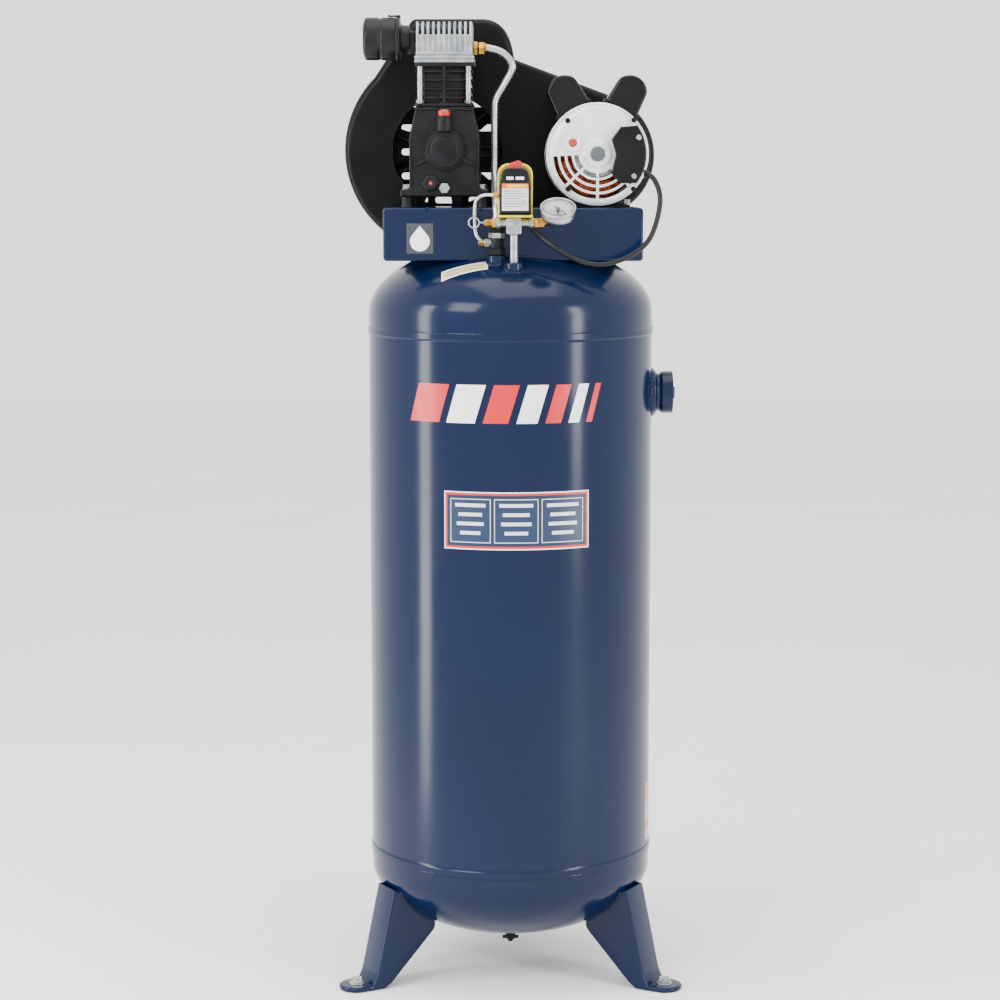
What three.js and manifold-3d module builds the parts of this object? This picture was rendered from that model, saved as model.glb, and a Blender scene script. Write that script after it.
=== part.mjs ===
// Stationary belt-driven air compressor: an upright receiver on three legs, with a twin-cylinder
// pump, an electric motor, a guarded belt drive and the pressure controls on a bed plate above it.
// Millimetres, +Z up, -Y is the front. Built about the tank's axis with the floor at z = 0.
import * as THREE from "three";
import { mergeVertices } from "three/addons/utils/BufferGeometryUtils.js";
import Module from "manifold-3d";

const wasm = await Module();
wasm.setup();

// ---------- driving dimensions ----------
const gap = 0.3; // clearance between pieces that touch
const slip = 0.6; // clearance between pieces that move past each other
const play = 0.05; // radial clearance of a shaft in its bearings

// receiver
const tankRadius = 254;
const tankWall = 3;
const tankFloor = 201; // height of the lower tangent line
const tankHeight = 1003; // between the tangent lines
const headHeight = tankRadius / 2; // 2:1 ellipsoidal heads
const tankCeiling = tankFloor + tankHeight; // height of the upper tangent line
const crownTop = tankCeiling + headHeight;
const headSkirt = 26;
const lapHeight = 12; // joggled lap of a head inside the shell
const beadRise = 2;
const beadHeight = 10;
const bungRadius = 15;
const bungHeight = 8;

// legs
const legSpread = tankRadius + 96; // tank axis to pad tip
const legWidth = 66;
const legSteel = 5;
const legTop = tankFloor - 23;
const legHead = tankRadius + 4; // tank axis to the web's outside at its top
const legFoot = tankRadius + 44; // tank axis to the web's outside at the floor
const legInner = tankRadius - 80; // tank axis to the flanges' inner edge
const legDrop = 98; // height at which a flange's inner edge turns towards the foot
const padRadius = 32;

// side port
const portHeight = tankCeiling - 145;
const portRadius = 38;
const portReach = tankRadius + 42;
const portBore = 29;

// bed plate
const bedLeft = -221;
const bedRight = 230;
const bedFront = -150;
const bedRear = 88;
const bedRise = 60; // bed plate above the crown
const bedTop = crownTop + bedRise;
const bedSteel = 5;
const bedFlange = 92;

// pump
const crankX = -115;
const crankRise = 100; // crankshaft above the bed plate
const crankZ = bedTop + crankRise;
const stroke = 50.8;
const bore = 70;
const boreYs = [-66, 18];
const rodLength = 100;
const caseWidth = 123;
const caseFront = -108;
const caseRear = 62;
const caseWall = 7;
const caseTop = crankZ + 74;
const footGap = 18; // stand-off between the bed plate and the crankcase base
const sightFlats = 25; // across the flats of the sight glass's nut
const shaftRadius = 12.5;
const shaftSides = 20;
const pinRadius = 14;
const bearingRadius = 26;
const bearingWidth = 14;
const barrelHeight = 75;
const barrelWidth = 100;
const finCount = 5;
const valveThickness = 12;
const headWidth = 98;
const headRise = 58;

// belt drive
const beltY = 126; // middle plane of the belt
const beltWidth = 13;
const beltThickness = 9;
const beltSeat = 1; // room under the belt in its grooves
const wheelPitch = 156;
const pulleyPitch = 42;
const bladeCount = 9;
const guardFront = 92;
const guardRear = 166;
const guardWall = 3;
const guardLobe = wheelPitch + 31;
const guardTop = crankZ + 237;
const guardBottom = bedTop - 66;

// motor
const motorX = 150.5;
const motorRadius = 88;
const motorLift = 4; // shell above the bed plate
const motorZ = bedTop + motorRadius + motorLift;
const motorLobe = motorRadius + 24; // the guard's lobe round the motor
const capacitorLean = 28; // degrees from upright
const capacitorRise = 62; // above the motor's shell
const motorFront = -150;
const motorRear = 78;
const motorWall = 2.5;
const bellDepth = 26;
const motorShaft = 8;
const rotorRadius = 40;
const statorBore = 41;
const motorSides = 24;

// pressure controls
const switchX = 8;
const switchY = -188;
const switchWidth = 60;
const switchDepth = 40;
const switchBack = -173;
const manifoldZ = crownTop + 35;
const manifoldRadius = 6.9;
const checkX = -24;
const checkY = -166;
const gaugeX = 81;
const gaugeZ = manifoldZ + 17;
const gaugeRadius = 31;
const gaugeTilt = 58; // degrees that the gauge's face leans back from upright

// intake and discharge
const filterZ = crankZ + 192;
const filterRadius = 37;
const filterLeft = -257;
const filterSeam = -200;
const filterY = -64;
const dischargeRadius = 6.4;
const outletZ = crankZ + 176; // middle of the head's outlet

// ---------- finishes ----------
const finish = (color, roughness, metalness = 0) =>
  new THREE.MeshStandardMaterial({ color, roughness, metalness });
const navy = finish(0x1c355c, 0.28);
const blackIron = finish(0x26282a, 0.6, 0.2);
const blackPlastic = finish(0x1b1c1e, 0.45);
const steel = finish(0xb9bcc0, 0.32, 0.9);
const castAluminium = finish(0xb6b8b9, 0.45, 0.85);
const tubeAluminium = finish(0xc9cbcd, 0.28, 0.9);
const zinc = finish(0xb4b5b0, 0.4, 0.8);
const brass = finish(0xc2964a, 0.3, 0.9);
const copper = finish(0xa0502c, 0.4, 0.7);
const whiteEnamel = finish(0xe4e5e3, 0.35, 0.1);
const red = finish(0xd02a22, 0.4);
const yellow = finish(0xe6cf1e, 0.45);
const rubber = finish(0x151515, 0.8);
const paper = finish(0xd8cdb0, 0.9);
const brightSteel = finish(0xd5d7d8, 0.2, 0.9);

// ---------- geometry helpers ----------
const rad = THREE.MathUtils.degToRad;

/** A closed geometry as a solid for joining and cutting. */
function solid(geometry) {
  const bare = geometry.clone();
  bare.deleteAttribute("normal");
  bare.deleteAttribute("uv");
  const merged = mergeVertices(bare, 1e-4);
  const vertProperties = new Float32Array(merged.attributes.position.array);
  const triVerts = new Uint32Array(merged.index.array);
  return new wasm.Manifold(new wasm.Mesh({ numProp: 3, vertProperties, triVerts }));
}

/** A joined or cut solid back as a geometry. */
function geometryOf(made) {
  const mesh = made.getMesh();
  const geometry = new THREE.BufferGeometry();
  geometry.setAttribute("position", new THREE.BufferAttribute(mesh.vertProperties, 3));
  geometry.setIndex(new THREE.BufferAttribute(mesh.triVerts, 1));
  geometry.computeVertexNormals();
  return geometry;
}

const joined = (...solids) => solids.reduce((sum, next) => sum.add(next));
const cut = (body, ...tools) => tools.reduce((rest, tool) => rest.subtract(tool), body);

function box(x0, x1, y0, y1, z0, z1) {
  const shape = new THREE.BoxGeometry(x1 - x0, y1 - y0, z1 - z0);
  return solid(shape.translate((x0 + x1) / 2, (y0 + y1) / 2, (z0 + z1) / 2));
}

/** Turns a profile of [radius, height] points about an axis through the point "at". */
function turned(profile, sides, axis = "z", at = [0, 0, 0]) {
  const points = profile.map(([r, h]) => new THREE.Vector2(r, h));
  const shape = new THREE.LatheGeometry(points, sides);
  if (axis === "z") shape.rotateX(Math.PI / 2);
  if (axis === "x") shape.rotateZ(-Math.PI / 2);
  return solid(shape.translate(...at));
}

const rod = (radius, h0, h1, sides, axis, at) =>
  turned([[0, h0], [radius, h0], [radius, h1], [0, h1]], sides, axis, at);

const ring = (inner, outer, h0, h1, sides, axis, at) =>
  turned([[inner, h0], [outer, h0], [outer, h1], [inner, h1], [inner, h0]], sides, axis, at);

/** An outline in x and z, extruded from y0 to y1. */
function slab(shape, y0, y1, curveSegments = 6) {
  const body = new THREE.ExtrudeGeometry(shape, { depth: y1 - y0, bevelEnabled: false, curveSegments });
  return solid(body.rotateX(Math.PI / 2).translate(0, y1, 0));
}

const outline = (points) => new THREE.Shape(points.map(([x, y]) => new THREE.Vector2(x, y)));

/** A round bar swept along a smooth line through the points. */
function swept(points, radius, steps, sides = 8, tension = 0.5) {
  const line = points.map((p) => new THREE.Vector3(...p));
  const path = new THREE.CatmullRomCurve3(line, false, "catmullrom", tension);
  const section = new THREE.Shape();
  section.absarc(0, 0, radius, 0, 2 * Math.PI);
  const options = { steps, extrudePath: path, bevelEnabled: false, curveSegments: sides / 2 };
  return solid(new THREE.ExtrudeGeometry(section, options));
}

const hexagon = (acrossFlats, h0, h1, axis, at) =>
  rod(acrossFlats / Math.sqrt(3), h0, h1, 6, axis, at);

const group = new THREE.Group();

function add(name, made, material, parent = group) {
  const mesh = new THREE.Mesh(geometryOf(made), material);
  mesh.name = name;
  parent.add(mesh);
  return mesh;
}

/** Height of the upper head's outside above a point in plan. */
function domeHeight(x, y, radius = tankRadius, height = headHeight) {
  return tankCeiling + height * Math.sqrt(Math.max(0, 1 - (x * x + y * y) / (radius * radius)));
}

// ---------- receiver ----------
const drainCrown = tankFloor - headHeight - gap;
const seamTop = tankCeiling - headSkirt;
const seamBottom = tankFloor + headSkirt;

function shellProfile() {
  const inner = tankRadius - tankWall;
  const bead = tankRadius + beadRise;
  return [
    [inner, seamBottom + gap],
    [bead, seamBottom + gap],
    [bead, seamBottom + beadHeight],
    [tankRadius, seamBottom + beadHeight + beadRise],
    [tankRadius, seamTop - beadHeight - beadRise],
    [bead, seamTop - beadHeight],
    [bead, seamTop - gap],
    [inner, seamTop - gap],
    [inner, seamBottom + gap],
  ];
}

/** Half section of a head: outside from the lap to the crown, then back along the inside. */
function headProfile(steps = 5, innerSteps = 3) {
  const lap = tankRadius - tankWall - gap;
  const inner = lap - tankWall;
  const points = [[inner, -headSkirt - lapHeight], [lap, -headSkirt - lapHeight], [lap, -headSkirt]];
  points.push([tankRadius, -headSkirt]);
  for (let i = 0; i <= steps; i++) {
    const angle = (i / steps) * (Math.PI / 2);
    points.push([tankRadius * Math.cos(angle), headHeight * Math.sin(angle)]);
  }
  points[points.length - 1][0] = 0;
  for (let i = innerSteps; i >= 0; i--) {
    const angle = (i / innerSteps) * (Math.PI / 2);
    points.push([inner * Math.cos(angle), (headHeight - 2 * tankWall) * Math.sin(angle)]);
  }
  points[4 + steps + 1][0] = 0;
  points.push(points[0]);
  return points;
}

const tankSides = 32;
const nippleX = switchX - 2;
const nippleRadius = manifoldRadius;
const checkRadius = 9;
const bungs = [
  { x: nippleX, y: switchY, hole: nippleRadius + gap },
  { x: checkX, y: checkY, hole: checkRadius + gap },
];
const bungTop = domeHeight(nippleX, switchY) + bungHeight;
const checkSeat = domeHeight(checkX, checkY) + bungHeight + 2;

{
  add("tank_shell", turned(shellProfile(), tankSides), navy);
  let upper = turned(headProfile(), tankSides, "z", [0, 0, tankCeiling]);
  const switchBung = rod(bungRadius, bungTop - 26, bungTop, 16, "z", [bungs[0].x, bungs[0].y, 0]);
  const checkBung = rod(bungRadius, checkSeat - 26, checkSeat, 16, "z", [bungs[1].x, bungs[1].y, 0]);
  upper = joined(upper, switchBung, checkBung);
  for (const bung of bungs)
    upper = cut(upper, rod(bung.hole, bungTop - 60, bungTop + 20, 12, "z", [bung.x, bung.y, 0]));
  add("tank_top_head", upper, navy);

  const base = new THREE.LatheGeometry(headProfile().map(([r, h]) => new THREE.Vector2(r, h)), tankSides);
  base.rotateX(-Math.PI / 2).translate(0, 0, tankFloor);
  const crown = tankFloor - headHeight;
  const drainBung = rod(bungRadius, crown - bungHeight, crown + 6, 16);
  const drainHole = rod(6 + gap, crown - 20, crown + 20, 12);
  add("tank_bottom_head", cut(solid(base).add(drainBung), drainHole), navy);
}

// ---------- legs ----------
{
  const half = legWidth / 2;
  const webRun = legSteel * 1.03; // the web's thickness measured level
  const tip = legSpread - padRadius;
  const side = [
    [legInner, legDrop], [legFoot - 20, 0], [legFoot, 0], [legHead, legTop], [legInner, legTop],
  ];
  const inside = [
    [legInner - 10, -legSteel], [legFoot - webRun, -legSteel], [legHead - webRun, legTop + legSteel],
    [legInner - 10, legTop + legSteel],
  ];
  const hull = turned([[0, drainCrown], ...lowerHull(), [0, tankFloor + 60]], tankSides);
  for (const [name, turn] of [["leg_front_left", 210], ["leg_front_right", 330], ["leg_rear", 90]]) {
    const channel = slab(outline(side), -half, half);
    const hollow = slab(outline(inside), -half + legSteel, half - legSteel);
    const padEnd = new THREE.Shape();
    padEnd.moveTo(legFoot - 22, -half + 1);
    padEnd.lineTo(tip, -padRadius);
    padEnd.absarc(tip, 0, padRadius, -Math.PI / 2, Math.PI / 2);
    padEnd.lineTo(legFoot - 22, half - 1);
    const padOptions = { depth: legSteel, bevelEnabled: false, curveSegments: 6 };
    const pad = solid(new THREE.ExtrudeGeometry(padEnd, padOptions));
    const hole = rod(6.5, -1, legSteel + 1, 12, "z", [tip, 0, 0]);
    const leg = cut(joined(cut(channel, hollow), pad), hole).rotate([0, 0, turn]);
    add(name, cut(leg, hull), navy);
  }
}
/** The lower head's outside, grown by a clearance, from the crown up to above the tangent line. */
function lowerHull(steps = 5) {
  const points = [];
  for (let i = steps - 1; i >= 0; i--) {
    const angle = (i / steps) * (Math.PI / 2);
    points.push([(tankRadius + gap) * Math.cos(angle), tankFloor - (headHeight + gap) * Math.sin(angle)]);
  }
  points.push([tankRadius + gap, tankFloor + 60]);
  return points;
}

// ---------- side port ----------
{
  const at = [0, 0, portHeight];
  const neck = ring(portBore, portRadius - 4, tankRadius - 6, portReach - 14, 18, "x", at);
  const collar = ring(portBore, portRadius, portReach - 26, portReach - 4, 18, "x", at);
  const foot = ring(portBore, portRadius + 3, tankRadius - 12, tankRadius + 8, 18, "x", at);
  const hull = rod(tankRadius + gap, 0, tankCeiling, tankSides);
  add("port_coupling", cut(joined(neck, collar, foot), hull), navy);
  const plug = rod(portBore - gap, tankRadius + 12, portReach - 5, 18, "x", at);
  const square = box(portReach - 6, portReach, -11, 11, portHeight - 11, portHeight + 11);
  add("port_plug", joined(plug, square), navy);
}

// ---------- drain valve ----------
const drainTop = tankFloor - headHeight;
{
  const stem = rod(6, drainTop - 26, drainTop + 10, 12);
  const body = hexagon(17, drainTop - 24, drainTop - bungHeight - gap);
  const spout = rod(4.5, drainTop - 36, drainTop - 24, 10);
  add("drain_valve_body", joined(stem, body, spout), blackIron);
  const wing = ring(6 + slip, 8.6, drainTop - 31, drainTop - 24.3, 12);
  const tab = box(-15, 15, -1.8, 1.8, drainTop - 31, drainTop - 25);
  const clear = rod(6 + slip, drainTop - 40, drainTop - 20, 12);
  add("drain_valve_handle", cut(joined(wing, tab), clear), blackPlastic);
}

// ---------- bed plate ----------
const bedUnder = bedTop - bedSteel;
{
  const top = box(bedLeft, bedRight, bedFront, bedRear, bedUnder, bedTop);
  const front = box(bedLeft, bedRight, bedFront, bedFront + bedSteel, bedTop - bedFlange, bedTop);
  const rear = box(bedLeft, bedRight, bedRear - bedSteel, bedRear, bedTop - bedFlange, bedTop);
  const ends = [bedLeft, bedRight - bedSteel].map((x) =>
    box(x, x + bedSteel, bedFront, bedRear, bedTop - bedFlange * 0.55, bedTop),
  );
  const dome = turned(
    [
      [0, tankCeiling - 20], [tankRadius + gap, tankCeiling - 20], ...domeArc(gap),
      [0, tankCeiling + headHeight + gap],
    ],
    tankSides,
  );
  add("platform", cut(joined(top, front, rear, ...ends), dome), navy);
}
function domeArc(clearance, steps = 5) {
  const points = [];
  for (let i = 0; i < steps; i++) {
    const angle = (i / steps) * (Math.PI / 2);
    points.push([
      (tankRadius + clearance) * Math.cos(angle),
      tankCeiling + (headHeight + clearance) * Math.sin(angle),
    ]);
  }
  return points;
}

// ---------- pump ----------
const caseBase = bedTop + footGap;
const crankRadius = stroke / 2;
const deckZ = caseTop;
const barrelTop = deckZ + gap + barrelHeight;
const plateTop = barrelTop + gap + valveThickness;
const headTop = plateTop + gap + headRise;
const onCrank = (y = 0) => [crankX, y, crankZ];
const neckRadius = 14;
const neckY = caseFront - 11;
const neckTop = caseTop - 17;
{
  const half = caseWidth / 2;
  const shoulder = crankZ + 22;
  const outer = outline([
    [crankX - half - 16, caseBase], [crankX + half + 16, caseBase], [crankX + half + 16, caseBase + 12],
    [crankX + half, caseBase + 18], [crankX + half, shoulder], [crankX + half - 12, caseTop],
    [crankX - half + 12, caseTop], [crankX - half, shoulder], [crankX - half, caseBase + 18],
    [crankX - half - 16, caseBase + 12],
  ]);
  const inner = outline([
    [crankX - half + caseWall, caseBase + 9], [crankX + half - caseWall, caseBase + 9],
    [crankX + half - caseWall, shoulder - 2], [crankX + half - caseWall - 11, caseTop - caseWall],
    [crankX - half + caseWall + 11, caseTop - caseWall], [crankX - half + caseWall, shoulder - 2],
  ]);
  let body = cut(slab(outer, caseFront, caseRear), slab(inner, caseFront + 16, caseRear - 16));
  const frontBoss = rod(34, caseFront - 8, caseFront + 1, 20, "y", onCrank());
  const rearBoss = rod(36, caseRear - 1, caseRear + 12, 20, "y", onCrank());
  const neck = rod(neckRadius, neckTop - 22, neckTop, 16, "z", [crankX, neckY, 0]);
  body = joined(body, frontBoss, rearBoss, neck);
  const feet = [-1, 1].flatMap((sx) => [caseFront + 14, caseRear - 14].map((y) =>
    rod(9, bedTop + gap, caseBase + 2, 12, "z", [crankX + sx * (half + 4), y, 0])));
  body = joined(body, ...feet);
  const cuts = [
    rod(bearingRadius + gap, caseFront - 10, caseFront + 17, 20, "y", onCrank()),
    rod(bearingRadius + gap, caseRear - 17, caseRear + 4, 20, "y", onCrank()),
    rod(shaftRadius + slip, caseRear + 2, caseRear + 14, 20, "y", onCrank()),
    ...boreYs.map((y) => rod(bore / 2 + 3 + gap, -30, 5, 24, "z", [crankX, y, caseTop - 2])),
    rod(6 + gap, neckTop - 20, neckTop + 1, 12, "z", [crankX, neckY, 0]),
    rod(9.3, caseFront - 2, caseFront + 20, 14, "y", [crankX - 24, 0, caseBase + 24]),
    rod(6.3, caseFront - 2, caseFront + 20, 12, "y", [crankX, 0, caseBase + 15]),
  ];
  add("crankcase", cut(body, ...cuts), blackIron);

  const plate = rod(32, caseFront - 14, caseFront - 8 - gap, 20, "y", onCrank());
  const spigot = rod(bearingRadius, caseFront - 10, caseFront - 1, 20, "y", onCrank());
  add("front_bearing_cap", joined(plate, spigot), blackIron);
  const seatBore = (shaftRadius + play) / Math.cos(Math.PI / shaftSides); // its flats clear the shaft
  const seat = (y) => ring(seatBore, bearingRadius, y, y + bearingWidth, shaftSides, "y", onCrank());
  add("front_bearing", seat(caseFront + 1), steel);
  add("rear_bearing", seat(caseRear - 12), steel);

  const sight = [crankX - 24, 0, caseBase + 24];
  const sightBody = rod(9, caseFront - 1, caseFront + 12, 14, "y", sight);
  const sightNut = hexagon(sightFlats, caseFront - 7, caseFront - gap, "y", sight);
  add("oil_sight_glass", joined(sightBody, sightNut), blackPlastic);
  const drain = [crankX, 0, caseBase + 15];
  const drainStem = rod(6, caseFront - 1, caseFront + 12, 12, "y", drain);
  add("oil_drain_plug", joined(drainStem, hexagon(17, caseFront - 7, caseFront - gap, "y", drain)), steel);
  const fillAt = [crankX, neckY, neckTop];
  const fillCap = rod(neckRadius - 4, gap, 11, 14, "z", fillAt);
  const fillStem = rod(6, -16, 1, 12, "z", fillAt);
  add("oil_fill_plug", joined(fillCap, fillStem), red);
}

/** Crankshaft: journals, webs and two pins half a turn apart. */
const pistonRest = [1, -1]; // first piston at the top of its stroke, second at the bottom
const pinWidth = 22;
const webWidth = 8;
const shaftEnd = beltY + 16;
const keyOffset = crankRadius / 2;
const keyRadius = 3;
{
  const front = rod(shaftRadius, caseFront + 1, boreYs[0] - pinWidth / 2, 20, "y", onCrank());
  const rear = rod(shaftRadius, boreYs[1] + pinWidth / 2, beltY - 2, 20, "y", onCrank());
  const nose = rod(shaftRadius - 4, beltY - 3, shaftEnd, 16, "y", onCrank());
  const middle = rod(shaftRadius, boreYs[0] + pinWidth / 2, boreYs[1] - pinWidth / 2, 20, "y", onCrank());
  let shaft = joined(front, rear, middle, nose);
  boreYs.forEach((y, i) => {
    const up = pistonRest[i] * crankRadius;
    const pinAt = [crankX, 0, crankZ + up];
    shaft = shaft.add(rod(pinRadius, y - pinWidth / 2 - 1, y + pinWidth / 2 + 1, 16, "y", pinAt));
    for (const side of [-1, 1]) {
      const y0 = side < 0 ? y - pinWidth / 2 - webWidth : y + pinWidth / 2;
      const web = new THREE.Shape();
      const arm = pinRadius + 4;
      web.absarc(crankX, crankZ + up, arm, up > 0 ? 0 : Math.PI, up > 0 ? Math.PI : 2 * Math.PI);
      const sign = pistonRest[i];
      web.lineTo(crankX - sign * 34, crankZ - sign * 6);
      web.absarc(crankX, crankZ - sign * 6, 34, sign > 0 ? Math.PI : 0, sign > 0 ? 2 * Math.PI : Math.PI);
      shaft = shaft.add(slab(web, y0, y0 + webWidth, 4));
    }
  });
  pistonRest.forEach((sign) => {
    const at = onCrank().map((v, k) => v + (k === 2 ? sign * keyOffset : 0));
    shaft = cut(shaft, rod(keyRadius + gap, beltY - 30, beltY + 20, 10, "y", at));
  });
  add("crankshaft", shaft, steel);
}

// ---------- pistons and rods ----------
const ringWidth = 16;
{
  const ringRadius = pinRadius + 8;
  const pinDepth = 18; // from the crown down to the wrist pin
  const wristRadius = 7;
  boreYs.forEach((y, i) => {
    const pinZ = crankZ + pistonRest[i] * crankRadius;
    const wristZ = pinZ + rodLength;
    const number = i + 1;
    const piston = turned([
      [0, wristZ + pinDepth - 4], [bore / 2 - 6, wristZ + pinDepth - 4], [bore / 2 - 6, wristZ - 16],
      [bore / 2 - slip, wristZ - 16], [bore / 2 - slip, wristZ + pinDepth], [0, wristZ + pinDepth],
    ], 24, "z", [crankX, y, 0]);
    const bosses = [-1, 1].map((side) =>
      rod(wristRadius + 4, side < 0 ? -30 : 12, side < 0 ? -12 : 30, 14, "y", [crankX, y, wristZ]));
    const pinBar = rod(wristRadius, -31, 31, 14, "y", [crankX, y, wristZ]);
    add(`piston_${number}`, joined(piston, ...bosses, pinBar), castAluminium);
    const eye = ring(wristRadius + gap, wristRadius + 5, -9, 9, 16, "y", [crankX, y, wristZ]);
    const shankLow = pinZ + ringRadius + 2 * gap;
    const shank = box(crankX - 6, crankX + 6, y - 5, y + 5, shankLow, wristZ - wristRadius - 3);
    add(`connecting_rod_${number}`, joined(eye, shank), castAluminium);
    const ringAt = [crankX, y, pinZ];
    const bigEnd = ring(pinRadius + gap, ringRadius, -ringWidth / 2, ringWidth / 2, 16, "y", ringAt);
    add(`rod_bearing_${number}`, bigEnd, castAluminium);
    const keyAt = [crankX, 0, crankZ + pistonRest[i] * keyOffset];
    add(`flywheel_pin_${number}`, rod(keyRadius, beltY - 26, beltY + 10, 10, "y", keyAt), steel);
  });
}

// ---------- cylinder block, valve plate and head ----------
{
  const centreY = (boreYs[0] + boreYs[1]) / 2;
  const halfY = (boreYs[1] - boreYs[0]) / 2 + bore / 2 + 8;
  const halfX = barrelWidth / 2;
  const z0 = deckZ + gap;
  const core = box(crankX - 42, crankX + 42, centreY - halfY + 6, centreY + halfY - 6, z0, barrelTop);
  const pitch = barrelHeight / finCount;
  const finsMade = [];
  for (let i = 0; i < finCount; i++) {
    const z = z0 + i * pitch;
    const spread = i === 0 || i === finCount - 1 ? 2 : 0;
    const reach = halfX + spread;
    finsMade.push(
      box(crankX - reach, crankX + reach, centreY - halfY, centreY + halfY, z, z + pitch * 0.3),
    );
  }
  const lid = box(
    crankX - halfX, crankX + halfX, centreY - halfY, centreY + halfY, barrelTop - 6, barrelTop,
  );
  const rib = box(crankX - 7, crankX + 7, centreY - halfY, centreY - halfY + 10, z0, barrelTop);
  const skirts = boreYs.map((y) => ring(bore / 2 - 1, bore / 2 + 3, -8, 4, 24, "z", [crankX, y, z0]));
  const holes = boreYs.map((y) => rod(bore / 2, -12, barrelHeight + 2, 24, "z", [crankX, y, z0]));
  add("cylinder_block", cut(joined(core, ...finsMade, lid, rib, ...skirts), ...holes), blackIron);

  const wide = headWidth / 2 + 3;
  const plate = box(
    crankX - wide, crankX + wide, centreY - halfY - 2, centreY + halfY + 2, barrelTop + gap, plateTop,
  );
  const valvePort = (x, y) => rod(7, barrelTop - 2, plateTop + 2, 10, "z", [crankX + x, y, 0]);
  const ports = boreYs.flatMap((y) => [valvePort(-16, y), valvePort(16, y)]);
  add("valve_plate", cut(plate, ...ports), castAluminium);

  const ridge = headWidth / 2;
  const comb = new THREE.Shape();
  const teeth = 11;
  const toothPitch = headWidth / teeth;
  comb.moveTo(crankX - ridge, plateTop + gap);
  comb.lineTo(crankX + ridge, plateTop + gap);
  for (let i = 0; i < teeth; i++) {
    const right = crankX + ridge - i * toothPitch;
    comb.lineTo(right, headTop);
    comb.lineTo(right - toothPitch * 0.45, headTop);
    if (i === teeth - 1) break;
    comb.lineTo(right - toothPitch * 0.45, headTop - 22);
    comb.lineTo(right - toothPitch, headTop - 22);
  }
  comb.lineTo(crankX - ridge, headTop);
  const chamberEnd = halfY - 10;
  const chamber = (x) =>
    box(crankX + x - 14, crankX + x + 14, centreY - chamberEnd, centreY + chamberEnd, plateTop, headTop - 30);
  const inlet = rod(9.3, -ridge - 2, -18, 14, "x", [crankX, filterY, filterZ - 20]);
  const outlet = rod(dischargeRadius + 2 + gap, 18, ridge + 2, 14, "x", [crankX, filterY, outletZ]);
  const body = slab(comb, centreY - halfY, centreY + halfY);
  add("cylinder_head", cut(body, chamber(-22), chamber(22), inlet, outlet), castAluminium);
}

// ---------- flywheel, belt and pulley ----------
const driveBelt = (grow, shrink = 0) => {
  const big = wheelPitch + grow - shrink;
  const small = pulleyPitch + grow - shrink;
  const dx = motorX - crankX;
  const dz = motorZ - crankZ;
  const span = Math.hypot(dx, dz);
  const lean = Math.atan2(dz, dx);
  const wrap = Math.acos((big - small) / span);
  const shape = new THREE.Shape();
  shape.absarc(crankX, crankZ, big, lean + wrap, lean - wrap + 2 * Math.PI);
  shape.absarc(motorX, motorZ, small, lean - wrap, lean + wrap);
  shape.closePath();
  return shape;
};
{
  const y0 = beltY - beltWidth / 2;
  const y1 = beltY + beltWidth / 2;
  const groove = wheelPitch - beltThickness / 2 - beltSeat;
  const rim = turned([
    [groove - 12, y0 - 5], [groove + 9, y0 - 5], [groove + 9, y0 - gap], [groove, y0 - gap],
    [groove, y1 + gap], [groove + 9, y1 + gap], [groove + 9, y1 + 5], [groove - 12, y1 + 5],
    [groove - 12, y0 - 5],
  ], 28, "y", onCrank());
  const hub = ring(shaftRadius + gap, 30, beltY - 24, beltY - 4, 20, "y", onCrank());
  const face = ring(shaftRadius - 4 + gap, 30, beltY - 5, beltY + 8, 20, "y", onCrank());
  let wheel = joined(rim, hub, face);
  for (let i = 0; i < bladeCount; i++) {
    const blade = new THREE.BoxGeometry(groove - 12 - 26, 5, 26);
    blade.rotateX(rad(38)).translate((groove - 12 + 26) / 2 + 1, 0, 0);
    blade.rotateY((i / bladeCount) * 2 * Math.PI).translate(crankX, beltY, crankZ);
    wheel = wheel.add(solid(blade));
  }
  const shaftHole = rod(shaftRadius + gap, beltY - 40, beltY - 1.5, 20, "y", onCrank());
  const noseHole = rod(shaftRadius - 4 + gap, beltY - 3, beltY + 30, 16, "y", onCrank());
  const pinHoles = pistonRest.map((sign) =>
    rod(keyRadius + gap, beltY - 40, beltY + 30, 10, "y", [crankX, 0, crankZ + sign * keyOffset]));
  add("flywheel", cut(wheel, shaftHole, noseHole, ...pinHoles), blackIron);

  const half = beltThickness / 2;
  const loop = driveBelt(half);
  const band = cut(slab(loop, y0, y1, 10), slab(driveBelt(-half), y0 - 1, y1 + 1, 10));
  add("drive_belt", band, rubber);

  const bottom = pulleyPitch - half - beltSeat;
  const pulley = turned([
    [motorShaft + gap, y0 - 6], [bottom + 9, y0 - 6], [bottom + 9, y0 - gap], [bottom, y0 - gap],
    [bottom, y1 + gap], [bottom + 9, y1 + gap], [bottom + 9, y1 + 6], [motorShaft + gap, y1 + 6],
    [motorShaft + gap, y0 - 6],
  ], 20, "y", [motorX, 0, motorZ]);
  add("motor_pulley", pulley, blackIron);
}

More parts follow.
